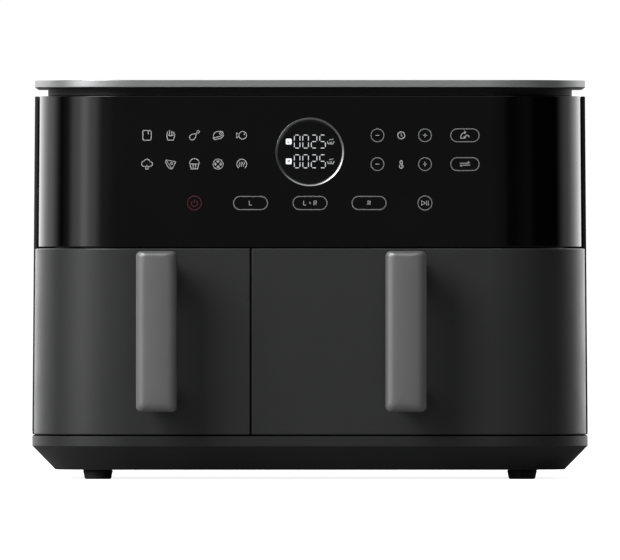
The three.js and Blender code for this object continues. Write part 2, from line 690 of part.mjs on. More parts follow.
// Turned about the cord's axis; positive distances stand out from the casing's back.
function cordGland() {
  return turnedLengthwise(closed([
    [GLAND_BORE, VENT_PROUD - 1],
    [GLAND_NECK - 1, VENT_PROUD - 1],
    [GLAND_RADIUS, VENT_PROUD - 3.5],
    [GLAND_RADIUS, GAP],
    [GLAND_NECK, GAP],
    [GLAND_NECK, -WALL - GAP],
    [GLAND_RADIUS, -WALL - GAP],
    [GLAND_RADIUS, -WALL - 3],
    [GLAND_BORE, -WALL - 3],
  ]), 16);
}

// ---------------------------------------------------------------- cooking spaces

function cavityLiner(zone) {
  const roofed = [Z_FLOOR - SHEET, Z_LINER_TOP];
  const outside = box([zone.x0 - SHEET, zone.x1 + SHEET], [Y_CAVITY, Y_CAVITY_BACK + SHEET], roofed);
  const inside = box([zone.x0, zone.x1], [-FAR, Y_CAVITY_BACK], [Z_FLOOR, Z_ROOF]);
  const spoutSize = [VENT_WIDTH - 2 * SPOUT_MARGIN, VENT_HEIGHT - 2 * SPOUT_MARGIN];
  const spout = box(
    around(zone.centre, spoutSize[0]),
    [Y_CAVITY_BACK, Y_BACK - WALL - GAP],
    around(Z_VENT, spoutSize[1]),
  );
  const duct = box(
    around(zone.centre, spoutSize[0] - 2 * SHEET),
    [Y_CAVITY_BACK - 1, FAR],
    around(Z_VENT, spoutSize[1] - 2 * SHEET),
  );
  let liner = outside.add(spout).subtract(inside).subtract(duct);
  liner = liner.intersect(casingBlock(FRAME_INSET + WALL + GAP, [0, Z_PANEL_TOP]).add(behind(Y_FAN)));
  const roof = [Z_ROOF - 1, Z_LINER_TOP + 1];
  liner = liner.subtract(upright(zone.bay, roof, zone.centre, Y_FAN));
  const [probeX, probeY] = probePlace(zone);
  return liner.subtract(upright(PROBE_RADIUS + GAP, roof, probeX, probeY, TINY_FACETS));
}

function reflector(zone) {
  const { bay } = zone;
  let dish = turned(closed([
    [bay + DISH_FLANGE, Z_DISH],
    [bay + DISH_FLANGE, Z_DISH + SHEET],
    [bay + 1, Z_DISH + SHEET],
    [bay, Z_DISH_TOP],
    [SHAFT_RADIUS + 2, Z_DISH_TOP],
    [SHAFT_RADIUS + 2, Z_DISH_TOP - SHEET],
    [bay - SHEET, Z_DISH_TOP - SHEET],
    [bay - 0.5, Z_DISH],
  ]));
  for (const [x, y] of terminalPlaces(zone)) {
    const hole = [Z_DISH_TOP - 4, Z_DISH_TOP + 4];
    dish = dish.subtract(upright(HEATER_RADIUS + 1, hole, x, y, TINY_FACETS));
  }
  return dish;
}

// Where the heater's two ends rise, measured from the fan's axis.
function terminalPlaces(zone) {
  const radius = zone.bay - HEATER_MARGIN;
  return [-TERMINAL_ANGLE, TERMINAL_ANGLE].map((offset) => {
    const angle = THREE.MathUtils.degToRad(90 + offset);
    return [radius * Math.cos(angle), radius * Math.sin(angle)];
  });
}

// One tube: up, round the outer turn, folded back round the inner turn, out and up.
function heater(zone) {
  const outer = zone.bay - HEATER_MARGIN;
  const inner = outer * HEATER_TURN_RATIO;
  const z = Z_HEATER + HEATER_RADIUS;
  const top = Z_DISH_TOP + TERMINAL_HEIGHT;
  const at = (radius, degrees, height = z) => {
    const angle = THREE.MathUtils.degToRad(90 + degrees);
    return new THREE.Vector3(radius * Math.cos(angle), radius * Math.sin(angle), height);
  };
  const route = [at(outer, TERMINAL_ANGLE, top), at(outer, TERMINAL_ANGLE, (top + z) / 2)];
  route.push(at(outer, TERMINAL_ANGLE, z + 7));
  const turn = 360 - RETURN_ANGLE - TERMINAL_ANGLE;
  for (let i = 1; i <= 14; i++) {
    route.push(at(outer, TERMINAL_ANGLE + (turn * i) / 14));
  }
  route.push(at((outer + inner) / 2, 360 - RETURN_ANGLE + 6));
  const back = 360 - RETURN_ANGLE + TERMINAL_ANGLE;
  for (let i = 0; i <= 12; i++) {
    route.push(at(inner, 360 - RETURN_ANGLE - (back * i) / 12));
  }
  route.push(at((outer + inner) / 2, -TERMINAL_ANGLE));
  route.push(at(outer, -TERMINAL_ANGLE, z + 7));
  route.push(at(outer, -TERMINAL_ANGLE, (top + z) / 2));
  route.push(at(outer, -TERMINAL_ANGLE, top));
  const path = new THREE.CatmullRomCurve3(route, false, 'centripetal');
  const section = [];
  for (let i = 0; i < 6; i++) {
    const angle = (i * Math.PI) / 3;
    section.push(new THREE.Vector2(Math.cos(angle), Math.sin(angle)).multiplyScalar(HEATER_RADIUS));
  }
  const options = { steps: 52, bevelEnabled: false, extrudePath: path };
  return solidOf(new THREE.ExtrudeGeometry(new THREE.Shape(section), options));
}

function heaterGuard(zone) {
  const height = [Z_DISH + GAP, Z_DISH + GAP + GUARD_WIRE];
  const rim = zone.bay - 1;
  let guard = null;
  for (const radius of [rim, rim * 0.55]) {
    const outside = upright(radius, height);
    const inside = upright(radius - GUARD_WIRE, [height[0] - 1, height[1] + 1]);
    const ring = outside.subtract(inside);
    guard = guard ? guard.add(ring) : ring;
  }
  for (const turn of [45, 135]) {
    const bar = box(around(0, 2 * rim - GUARD_WIRE), around(0, GUARD_WIRE), height);
    guard = guard.add(bar.rotate([0, 0, turn]));
  }
  return guard;
}

function bladedFan(radius, height, bladeCount, sweep) {
  const disc = upright(radius, [height - 1, height]);
  let fan = disc.add(upright(SHAFT_RADIUS + 4, [0, height], 0, 0, SMALL_FACETS));
  for (let i = 0; i < bladeCount; i++) {
    const blade = box([0, radius - SHAFT_RADIUS - 3], around(0, 1), [1, height - 0.5]);
    const swept = blade.rotate([0, 0, sweep]).translate([SHAFT_RADIUS + 2, 0, 0]);
    fan = fan.add(swept.rotate([0, 0, (360 * i) / bladeCount]));
  }
  const rim = upright(radius, [-1, height + 1]);
  return fan.intersect(rim).subtract(upright(SHAFT_RADIUS + GAP, [-1, height + 1], 0, 0, SMALL_FACETS));
}

function fanRadius(zone) {
  return Math.min(zone.bay - FAN_MARGIN, FAN_MAX_RADIUS);
}

function motorShaft() {
  return turned([
    [0, Z_FAN - 4],
    [SHAFT_RADIUS + 2, Z_FAN - 4],
    [SHAFT_RADIUS + 2, Z_FAN - GAP],
    [SHAFT_RADIUS, Z_FAN - GAP],
    [SHAFT_RADIUS, Z_COOLING_FAN + 17],
    [0, Z_COOLING_FAN + 17],
  ], SMALL_FACETS);
}

function motor() {
  const top = Z_MOTOR + MOTOR_HEIGHT;
  const can = turned(closed([
    [SHAFT_RADIUS + 2 * GAP, Z_MOTOR],
    [MOTOR_RADIUS, Z_MOTOR],
    [MOTOR_RADIUS, top - 7],
    [MOTOR_RADIUS - 8, top],
    [SHAFT_RADIUS + 2 * GAP, top],
  ]));
  const ears = box(around(0, 2 * MOTOR_RADIUS + 16), around(0, 14), [Z_MOTOR, Z_MOTOR + 2]);
  const bore = upright(SHAFT_RADIUS + 2 * GAP, [Z_MOTOR - 1, Z_MOTOR + 3]);
  return can.add(ears.subtract(bore));
}

function microswitch(zone) {
  const height = [Z_LINER_TOP + GAP, Z_LINER_TOP + GAP + SWITCH_HEIGHT];
  const depth = [Y_CAVITY, Y_CAVITY + SWITCH_DEPTH];
  const body = box(around(zone.centre, SWITCH_WIDTH), depth, height);
  const bore = [Y_CAVITY - 1, Y_CAVITY + SWITCH_DEPTH - 2];
  return body.subtract(lengthwise(PLUNGER_RADIUS + GAP, bore, zone.centre, Z_SWITCH, TINY_FACETS));
}

// Its tip touches the back of the drawer front while the drawer is shut.
function switchPlunger(zone) {
  const tip = Y_OUTER + DRAWER_INSET + DRAWER_THICKNESS + GAP;
  return lengthwise(PLUNGER_RADIUS, [tip, tip + PLUNGER_LENGTH], zone.centre, Z_SWITCH, TINY_FACETS);
}

function probePlace(zone) {
  const inner = zone.outward < 0 ? zone.x1 - PROBE_INSET : zone.x0 + PROBE_INSET;
  return [inner, Y_OUTER + PROBE_SETBACK];
}

function temperatureProbe(zone) {
  const [x, y] = probePlace(zone);
  const tip = Z_ROOF - PROBE_DIP;
  const stem = upright(PROBE_RADIUS, [tip, tip + PROBE_LENGTH], x, y, TINY_FACETS);
  const nut = upright(PROBE_RADIUS + 2.5, [Z_LINER_TOP + GAP, Z_LINER_TOP + GAP + 4], x, y, 6);
  return stem.add(nut);
}

function runner(zone) {
  const height = [Z_FLOOR + GAP, Z_FLOOR + GAP + RAIL_HEIGHT];
  const length = [Y_PAN + 4, Y_PAN_BACK - 6];
  const offset = zone.width / 2 - RAIL_INSET;
  const crossHeight = [height[0], height[0] + 1.5];
  let rails = box(around(zone.centre, 2 * offset), [length[1] - 8, length[1]], crossHeight);
  for (const side of [-1, 1]) {
    rails = rails.add(box(around(zone.centre + side * offset, RAIL_WIDTH), length, height));
  }
  return rails;
}

// ---------------------------------------------------------------- drawers

// The drawer front's share of the width, with a margin at the seam.
function frontSpan(zone, margin) {
  const seam = SEAM_X + zone.outward * (SEAM_GAP / 2 + margin);
  return zone.outward < 0 ? [-FAR, seam] : [seam, FAR];
}

function frontRegion(zone, margin) {
  return box(frontSpan(zone, margin), [-FAR, Y_SEAM - 1 - margin], [-FAR, FAR]);
}

function drawerFront(zone) {
  const rear = DRAWER_INSET + DRAWER_THICKNESS;
  const block = casingWall(DRAWER_INSET, rear, [Z_DRAWER, Z_DRAWER_TOP]);
  const pocket = casingBlock(DRAWER_INSET + WALL, [Z_DRAWER + WALL, Z_DRAWER_TOP - WALL]);
  return block.intersect(frontRegion(zone, 0)).subtract(pocket.intersect(frontRegion(zone, WALL)));
}

function drawerBack(zone) {
  const rear = DRAWER_INSET + DRAWER_THICKNESS - 0.2;
  const margin = WALL + GAP;
  const plate = casingWall(rear - 2.6, rear, [Z_DRAWER + margin, Z_DRAWER_TOP - margin]);
  const boss = box(
    around(zone.centre, panWidth(zone) - 2 * BOSS_MARGIN),
    [-FAR, Y_PAN - GAP],
    [Z_PAN + BOSS_FOOT, Z_PAN_TOP - BOSS_DROP],
  );
  const within = casingBlock(rear - 2.6, [0, Z_PANEL_TOP]);
  return plate.intersect(frontRegion(zone, margin)).add(boss.intersect(within));
}

function handle() {
  const half = [HANDLE_WIDTH / 2 - HANDLE_EDGE, HANDLE_HEIGHT / 2 - HANDLE_EDGE];
  const radius = HANDLE_CORNER - HANDLE_EDGE;
  const outline = roundedOutline([-half[0], half[0]], [-half[1], half[1]], radius, radius, 3, 3);
  const grip = new THREE.ExtrudeGeometry(new THREE.Shape(outline), {
    depth: HANDLE_THICKNESS - 2 * HANDLE_EDGE,
    bevelThickness: HANDLE_EDGE,
    bevelSize: HANDLE_EDGE,
    bevelSegments: 3,
  });
  grip.rotateX(Math.PI / 2);
  grip.translate(0, HANDLE_THICKNESS - HANDLE_EDGE - HANDLE_REACH, 0);
  let solid = solidOf(grip);
  const middle = HANDLE_HEIGHT / 2 - POST_SETBACK - POST_HEIGHT / 2;
  for (const z of [-middle, middle]) {
    const reach = [HANDLE_THICKNESS - HANDLE_REACH - 2, -GAP];
    solid = solid.add(box(around(0, POST_WIDTH), reach, around(z, POST_HEIGHT)));
  }
  return solid;
}

function panWidth(zone) {
  return zone.width - 2 * PAN_SIDE_CLEARANCE;
}

// The pan's outline at a height, moved in by an inset; its walls lean in towards the foot.
function panSection(zone, z, inset) {
  const lean = PAN_DRAFT * (1 - (z - Z_PAN) / (Z_PAN_TOP - Z_PAN)) + inset;
  const half = panWidth(zone) / 2 - lean;
  const radius = PAN_CORNER - lean;
  const outline = roundedOutline(
    [zone.centre - half, zone.centre + half],
    [Y_PAN + lean, Y_PAN_BACK - lean],
    radius,
    radius,
    PAN_FACETS,
    PAN_FACETS,
  );
  return { outline, z };
}

function pan(zone) {
  const outside = loft([
    panSection(zone, Z_PAN, PAN_FILLET),
    panSection(zone, Z_PAN + PAN_FILLET * 0.3, PAN_FILLET * 0.3),
    panSection(zone, Z_PAN + PAN_FILLET, 0),
    panSection(zone, Z_PAN_TOP, 0),
  ]);
  const inside = loft([
    panSection(zone, Z_PAN + PAN_WALL, PAN_FILLET + PAN_WALL),
    panSection(zone, Z_PAN + PAN_WALL + PAN_FILLET * 0.3, PAN_FILLET * 0.3 + PAN_WALL),
    panSection(zone, Z_PAN + PAN_WALL + PAN_FILLET, PAN_WALL),
    panSection(zone, Z_PAN_TOP + 1, PAN_WALL),
  ]);
  const lip = loft([
    panSection(zone, Z_PAN_TOP - PAN_WALL, -PAN_LIP),
    panSection(zone, Z_PAN_TOP, -PAN_LIP),
  ]);
  return outside.add(lip).subtract(inside);
}

function plateInset() {
  return PAN_WALL + PLATE_CLEARANCE;
}

function crisperPlate(zone) {
  const height = [Z_PLATE, Z_PLATE + PLATE_THICKNESS];
  const edge = panSection(zone, Z_PLATE, plateInset()).outline;
  let plate = loft([{ outline: edge, z: height[0] }, { outline: edge, z: height[1] }]);
  const half = [panWidth(zone) / 2 - plateInset() - PAN_DRAFT, (Y_PAN_BACK - Y_PAN) / 2 - 8];
  const middle = (Y_PAN + Y_PAN_BACK) / 2;
  const columns = Math.floor((half[0] - SLOT_MARGIN - SLOT_WIDTH / 2) / SLOT_PITCH_X);
  const rows = Math.floor((half[1] - SLOT_MARGIN - SLOT_LENGTH / 2) / SLOT_PITCH_Y);
  for (let column = -columns; column <= columns; column++) {
    for (let row = -rows; row <= rows; row++) {
      const offset = [column * SLOT_PITCH_X, row * SLOT_PITCH_Y];
      const beside = Math.abs(offset[0]) > FINGER_HOLE_RADIUS + SLOT_WIDTH;
      const beyond = Math.abs(offset[1]) > FINGER_HOLE_RADIUS + SLOT_LENGTH / 2;
      if (beside || beyond) {
        const x = around(zone.centre + offset[0], SLOT_WIDTH);
        const y = around(middle + offset[1], SLOT_LENGTH);
        plate = plate.subtract(box(x, y, [height[0] - 1, height[1] + 1]));
      }
    }
  }
  const hole = [height[0] - 1, height[1] + 1];
  plate = plate.subtract(upright(FINGER_HOLE_RADIUS, hole, zone.centre, middle, 16));
  const leg = [Z_PAN + PAN_WALL + GAP, Z_PLATE + PLATE_THICKNESS / 2];
  const legOffset = [half[0] - PAN_CORNER / 2 + 3, half[1] - PAN_CORNER / 2 + 3];
  for (const x of [zone.centre - legOffset[0], zone.centre + legOffset[0]]) {
    for (const y of [middle - legOffset[1], middle + legOffset[1]]) {
      plate = plate.add(upright(PLATE_LEG_RADIUS, leg, x, y, TINY_FACETS));
    }
  }
  return plate;
}

// A clip over the plate's edge, drawn with the pan wall on its -Y side and the plate at Z 0.
function crisperPad() {
  const reach = PLATE_CLEARANCE + PAD_REACH;
  const pad = box(around(0, PAD_LENGTH), [GAP, reach], around(PLATE_THICKNESS / 2, PAD_HEIGHT));
  const grip = around(PLATE_THICKNESS / 2, PLATE_THICKNESS + 2 * GAP);
  return pad.subtract(box([-FAR, FAR], [PLATE_CLEARANCE - GAP, FAR], grip));
}

// Places and turns of the four pads of a plate: front, back, left and right.
function padPlaces(zone) {
  const edge = panSection(zone, Z_PLATE - PAD_HEIGHT / 2, PAN_WALL).outline;
  const xs = edge.map((point) => point.x);
  const ys = edge.map((point) => point.y);
  const middle = (Y_PAN + Y_PAN_BACK) / 2;
  return [
    ['front', zone.centre, Math.min(...ys), 0],
    ['back', zone.centre, Math.max(...ys), Math.PI],
    ['left', Math.min(...xs), middle, -Math.PI / 2],
    ['right', Math.max(...xs), middle, Math.PI / 2],
  ];
}

// ---------------------------------------------------------------- assembly

const airFryer = new THREE.Group();

function addHousing() {
  const housing = new THREE.Group();
  airFryer.add(housing);
  addPart(housing, 'outer_shell', outerShell(), BLACK_PLASTIC);
  addPart(housing, 'base_tray', baseTray(), BLACK_PLASTIC);
  addPart(housing, 'top_lid', topLid(), LID_METAL);
  addPart(housing, 'intake_collar', intakeCollar(), BLACK_PLASTIC);
  addPart(housing, 'front_frame', frontFrame(), BLACK_PLASTIC);
  addPart(housing, 'motor_deck', motorDeck(), GALVANISED);
  addPart(housing, 'power_board', powerBoard(), CIRCUIT_BOARD);
  addPart(housing, 'cord_gland', cordGland(), RUBBER, [GLAND_X, Y_BACK, GLAND_Z]);
  for (const zone of ZONES) {
    const place = [zone.centre, Y_BACK, Z_VENT];
    addPart(housing, `rear_grille_${zone.side}`, rearGrille(), BLACK_PLASTIC, place);
  }
  const footNames = ['front_left', 'front_right', 'rear_left', 'rear_right'];
  footPlaces().forEach(([x, y], i) => {
    addPart(housing, `foot_${footNames[i]}`, foot(), RUBBER, [x, y, 0]);
  });
}

function addPanel() {
  const panel = new THREE.Group();
  airFryer.add(panel);
  const displayPlace = [0, Y_PANEL, Z_DISPLAY];
  addPart(panel, 'control_panel', controlPanel(), GLOSS_PANEL);
  addPart(panel, 'display_ring', displayRing(), CHROME, displayPlace);
  addPart(panel, 'display_lens', displayLens(), LENS, displayPlace);
  addPart(panel, 'control_board', controlBoard(), CIRCUIT_BOARD);
}

function addCookingSpace(zone) {
  const space = new THREE.Group();
  airFryer.add(space);
  const axis = [zone.centre, Y_FAN, 0];
  addPart(space, `${zone.side}_cavity_liner`, cavityLiner(zone), GALVANISED);
  addPart(space, `${zone.side}_reflector`, reflector(zone), GALVANISED, axis);
  addPart(space, `${zone.side}_heater`, heater(zone), HEATER_STEEL, axis);
  addPart(space, `${zone.side}_heater_guard`, heaterGuard(zone), CHROME, axis);
  addPart(space, `${zone.side}_motor`, motor(), MOTOR_STEEL, axis);
  addPart(space, `${zone.side}_motor_shaft`, motorShaft(), CHROME, axis);
  const convectionFan = bladedFan(fanRadius(zone), FAN_HEIGHT, FAN_BLADES, 14);
  addPart(space, `${zone.side}_convection_fan`, convectionFan, GALVANISED, [axis[0], axis[1], Z_FAN]);
  const coolingFan = bladedFan(COOLING_FAN_RADIUS, FAN_HEIGHT, FAN_BLADES, 24);
  addPart(space, `${zone.side}_cooling_fan`, coolingFan, BLACK_PLASTIC, [axis[0], axis[1], Z_COOLING_FAN]);
  addPart(space, `${zone.side}_microswitch`, microswitch(zone), BLACK_PLASTIC);
  addPart(space, `${zone.side}_switch_plunger`, switchPlunger(zone), SWITCH_RED);
  addPart(space, `${zone.side}_temperature_probe`, temperatureProbe(zone), CHROME);
  addPart(space, `${zone.side}_runner`, runner(zone), GALVANISED);
}

function addDrawer(zone) {
  const drawer = new THREE.Group();
  airFryer.add(drawer);
  addPart(drawer, `${zone.side}_drawer_front`, drawerFront(zone), DRAWER_PLASTIC);
  addPart(drawer, `${zone.side}_drawer_back`, drawerBack(zone), BLACK_PLASTIC);
  const grip = [zone.centre + HANDLE_SHIFT[zone.side], Y_DRAWER, Z_HANDLE];
  addPart(drawer, `${zone.side}_handle`, handle(), HANDLE_PLASTIC, grip);
  addPart(drawer, `${zone.side}_pan`, pan(zone), NON_STICK);
  const crisper = new THREE.Group();
  drawer.add(crisper);
  addPart(crisper, `${zone.side}_crisper_plate`, crisperPlate(zone), NON_STICK);
  for (const [place, x, y, turn] of padPlaces(zone)) {
    const holder = new THREE.Group();
    holder.position.set(x, y, Z_PLATE);
    holder.rotation.z = turn;
    crisper.add(holder);
    addPart(holder, `${zone.side}_crisper_pad_${place}`, crisperPad(), SILICONE);
  }
}

addHousing();
addPanel();
for (const zone of ZONES) {
  addCookingSpace(zone);
  addDrawer(zone);
}

export default airFryer;
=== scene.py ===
import math

import bmesh
import bpy
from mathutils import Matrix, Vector


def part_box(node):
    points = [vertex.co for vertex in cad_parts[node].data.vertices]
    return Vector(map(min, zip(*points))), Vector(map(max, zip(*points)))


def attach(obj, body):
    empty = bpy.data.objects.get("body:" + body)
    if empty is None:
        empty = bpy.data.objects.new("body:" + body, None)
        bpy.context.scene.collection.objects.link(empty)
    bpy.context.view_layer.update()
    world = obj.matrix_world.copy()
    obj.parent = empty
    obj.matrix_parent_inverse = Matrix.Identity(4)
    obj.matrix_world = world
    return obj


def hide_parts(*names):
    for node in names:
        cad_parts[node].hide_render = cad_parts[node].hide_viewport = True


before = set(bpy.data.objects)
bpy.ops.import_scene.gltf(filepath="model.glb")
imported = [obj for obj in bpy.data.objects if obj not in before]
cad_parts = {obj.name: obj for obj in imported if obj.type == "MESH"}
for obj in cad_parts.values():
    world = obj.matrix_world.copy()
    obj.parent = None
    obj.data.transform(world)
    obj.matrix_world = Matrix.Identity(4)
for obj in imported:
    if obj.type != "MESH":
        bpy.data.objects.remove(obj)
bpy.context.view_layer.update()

# A twin-drawer air fryer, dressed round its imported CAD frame. Metres, +Z up, the front faces -Y.
# Places come from the CAD nodes; the sizes below are the casing's own, repeated from the CAD.

MM = 0.001
GAP = 0.3 * MM
WALL = 3 * MM

SHELL_LOW, SHELL_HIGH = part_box("outer_shell")
BASE_LOW, BASE_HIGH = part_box("base_tray")
COLLAR_LOW, COLLAR_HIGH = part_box("intake_collar")
LID_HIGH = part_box("top_lid")[1]
PANEL_LOW, PANEL_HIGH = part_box("control_panel")
DISPLAY_LOW, DISPLAY_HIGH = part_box("display_ring")

CORNER_FRONT = 74 * MM
CORNER_REAR = 50 * MM
SKIRT_HEIGHT = 18 * MM
SKIRT_INSET = 17.5 * MM
REVEAL = 1 * MM
DRAWER_INSET = 1.2 * MM
DRAWER_THICKNESS = 11.8 * MM
PANEL_INSET = 3.2 * MM
PANEL_SKIN = 2.5 * MM
TOP_FLANGE = 16 * MM
COLLAR_INSET = 10 * MM
COLLAR_SKIN = 2.5 * MM

FRONT_Y = BASE_LOW.y
BACK_Y = SHELL_HIGH.y
SEAM_Y = SHELL_LOW.y
PANEL_Y = PANEL_LOW.y
SIDES = ("left", "right")
OUTWARD = {"left": -1, "right": 1}
DISPLAY_CENTRE = (DISPLAY_LOW + DISPLAY_HIGH) / 2


# ---------------------------------------------------------------- meshes


def link_mesh(name, verts, faces):
    mesh = bpy.data.meshes.new(name)
    mesh.from_pydata([tuple(v) for v in verts], [], faces)
    obj = bpy.data.objects.new(name, mesh)
    bpy.context.scene.collection.objects.link(obj)
    shell = bmesh.new()
    shell.from_mesh(mesh)
    bmesh.ops.recalc_face_normals(shell, faces=shell.faces)
    shell.to_mesh(mesh)
    shell.free()
    return obj


def grid(name, rows, ring=True, wrap=False):
    """Quads between rows of points. ring closes each row, wrap joins the last row to the first.

    A surface that is open one way is closed with flat ends."""
    count = len(rows[0])
    faces = []
    for i in range(len(rows) if wrap else len(rows) - 1):
        a = i * count
        b = (i + 1) % len(rows) * count
        for j in range(count if ring else count - 1):
            k = (j + 1) % count
            faces.append((a + j, a + k, b + k, b + j))
    if ring and not wrap:
        faces.append(tuple(range(count)))
        faces.append(tuple((len(rows) - 1) * count + j for j in range(count)))
    if wrap and not ring:
        faces.append(tuple(i * count for i in range(len(rows))))
        faces.append(tuple(i * count + count - 1 for i in range(len(rows))))
    return link_mesh(name, [p for row in rows for p in row], faces)


def add_modifier(obj, kind, **settings):
    modifier = obj.modifiers.new(kind.lower(), kind)
    for key, value in settings.items():
        setattr(modifier, key, value)
    return modifier


def bake_modifiers(obj):
    graph = bpy.context.evaluated_depsgraph_get()
    mesh = bpy.data.meshes.new_from_object(obj.evaluated_get(graph))
    obj.modifiers.clear()
    obj.data = mesh
    return obj


def combine(obj, tools, operation="DIFFERENCE"):
    """Cuts the tools out of obj, or joins them to it, and removes them."""
    for tool in tools:
        add_modifier(obj, "BOOLEAN", object=tool, operation=operation, solver="EXACT")
        bpy.context.view_layer.update()
        bake_modifiers(obj)
        bpy.data.objects.remove(tool)
    return obj


def merged(name, objects):
    """One mesh that holds the given meshes, which lie clear of each other."""
    verts, faces = [], []
    for obj in objects:
        start = len(verts)
        verts += [v.co.copy() for v in obj.data.vertices]
        faces += [tuple(start + i for i in p.vertices) for p in obj.data.polygons]
        bpy.data.objects.remove(obj)
    return link_mesh(name, verts, faces)


def smooth(obj):
    for polygon in obj.data.polygons:
        polygon.use_smooth = True


def soften(obj, width, segments=3, angle=30, mitre="MITER_ARC"):
    """Rounds the edges and smooths the faces between them."""
    smooth(obj)
    limits = {"limit_method": "ANGLE", "angle_limit": math.radians(angle)}
    add_modifier(obj, "BEVEL", width=width, segments=segments, miter_outer=mitre, **limits)
    add_modifier(obj, "WEIGHTED_NORMAL", keep_sharp=True, weight=100)
    return obj


def block(name, x, y, z):
    """A box between pairs of places, for cuts and plain joined parts."""
    rows = [[Vector((x[i], y[j], k)) for i, j in ((0, 0), (1, 0), (1, 1), (0, 1))] for k in z]
    return grid(name, rows)


def around(middle, size):
    return middle - size / 2, middle + size / 2


def circle_point(centre, radius, degrees):
    angle = math.radians(degrees)
    return centre[0] + radius * math.cos(angle), centre[1] + radius * math.sin(angle)


def rounded_outline(half, radius, facets=6):
    """A rounded rectangle's points about its own middle."""
    radius = min(radius, half[0] * 0.999, half[1] * 0.999)
    points = []
    for turn, (sx, sy) in enumerate(((1, -1), (1, 1), (-1, 1), (-1, -1))):
        centre = (sx * (half[0] - radius), sy * (half[1] - radius))
        for i in range(facets + 1):
            points.append(circle_point(centre, radius, -90 + 90 * (turn + i / facets)))
    return points


def turned(name, profile, centre, axis="Z", sides=96, hollow=False):
    """Turns a profile of (radius, distance along the axis) round an upright or a Y axis.

    A hollow profile is a closed loop; any other starts and ends on or near the axis."""
    rows = []
    for radius, along in profile:
        row = []
        for i in range(sides):
            a, b = circle_point((0, 0), max(radius, 1e-5), 360 * i / sides)
            offset = (a, b, along) if axis == "Z" else (a, along, b)
            row.append(Vector(centre) + Vector(offset))
        rows.append(row)
    return grid(name, rows, wrap=hollow)


# ---------------------------------------------------------------- casing outline


def half_width(z):
    rise = (z - SHELL_LOW.z) / (SHELL_HIGH.z - SHELL_LOW.z)
    rise = min(max(rise, 0), 1)
    return BASE_HIGH.x + (LID_HIGH.x - BASE_HIGH.x) * rise


def casing_point(station, inset, z):
    """A station is (fixed x, side, centre y, direction x, direction y, radius)."""
    x, side, y, nx, ny, radius = station
    reach = radius - inset
    return Vector((x + side * (half_width(z) - radius) + nx * reach, y + ny * reach, z))


def corner_run(side, radius, y, start, facets):
    run = []
    for i in range(facets + 1):
        nx, ny = circle_point((0, 0), 1, start + 90 * i / facets)
        run.append((0, side, y, nx, ny, radius))
    return run


def side_station(side, y):
    return (0, side, y, side, 0, CORNER_FRONT)


def front_station(x):
    return (x, 0, FRONT_Y + CORNER_FRONT, 0, -1, CORNER_FRONT)


RIGHT_FRONT = corner_run(1, CORNER_FRONT, FRONT_Y + CORNER_FRONT, -90, 32)
RIGHT_REAR = corner_run(1, CORNER_REAR, BACK_Y - CORNER_REAR, 0, 20)
LEFT_REAR = corner_run(-1, CORNER_REAR, BACK_Y - CORNER_REAR, 90, 20)
LEFT_FRONT = corner_run(-1, CORNER_FRONT, FRONT_Y + CORNER_FRONT, 180, 32)
WHOLE_RUN = RIGHT_FRONT + RIGHT_REAR + LEFT_REAR + LEFT_FRONT


def casing_solid(name, profile):
    """A solid that follows the whole casing through a list of (inset, z), with flat ends."""
    return grid(name, [[casing_point(s, inset, z) for s in WHOLE_RUN] for inset, z in profile])


def casing_hoop(name, profile, run=None):
    """A closed profile of (inset, z) carried round the whole casing, or along part of it."""
    path = run or WHOLE_RUN
    rows = [[casing_point(s, inset, z) for s in path] for inset, z in profile]
    return grid(name, rows, ring=run is None, wrap=True)


def strip_profile(insets, heights):
    (near, far), (low, high) = insets, heights
    return [(near, low), (near, high), (far, high), (far, low)]


def front_run(start, end):
    """Stations along the front from one side to the other, ending at Y on each side."""
    return [side_station(-1, start)] + LEFT_FRONT + RIGHT_FRONT + [side_station(1, end)]


# ---------------------------------------------------------------- materials


class NodeGraph:
    """Fills a node tree one node at a time."""

    def __init__(self, tree):
        self.tree = tree

    def node(self, kind, inputs, output=0, **settings):
        """Adds a node, feeds its inputs with numbers or other nodes' outputs, and returns one output."""
        node = self.tree.nodes.new(f"ShaderNode{kind}")
        for key, value in settings.items():
            setattr(node, key, value)
        for socket, value in inputs.items():
            if isinstance(value, bpy.types.NodeSocket):
                self.tree.links.new(value, node.inputs[socket])
            else:
                node.inputs[socket].default_value = value
        return node.outputs[output]

    def maths(self, operation, *values):
        return self.node("Math", dict(enumerate(values)), operation=operation)

    def ranged(self, value, from_low, from_high, to_low, to_high, **settings):
        names = ("Value", "From Min", "From Max", "To Min", "To Max")
        values = (value, from_low, from_high, to_low, to_high)
        return self.node("MapRange", dict(zip(names, values)), **settings)

    def split_by_ray(self, camera_shader, other_shader, surface):
        """Shows one shader to the camera and lights the scene with the other."""
        seen = self.node("LightPath", {}, "Is Camera Ray")
        mix = self.node("MixShader", {0: seen, 1: other_shader, 2: camera_shader})
        self.tree.links.new(mix, surface)


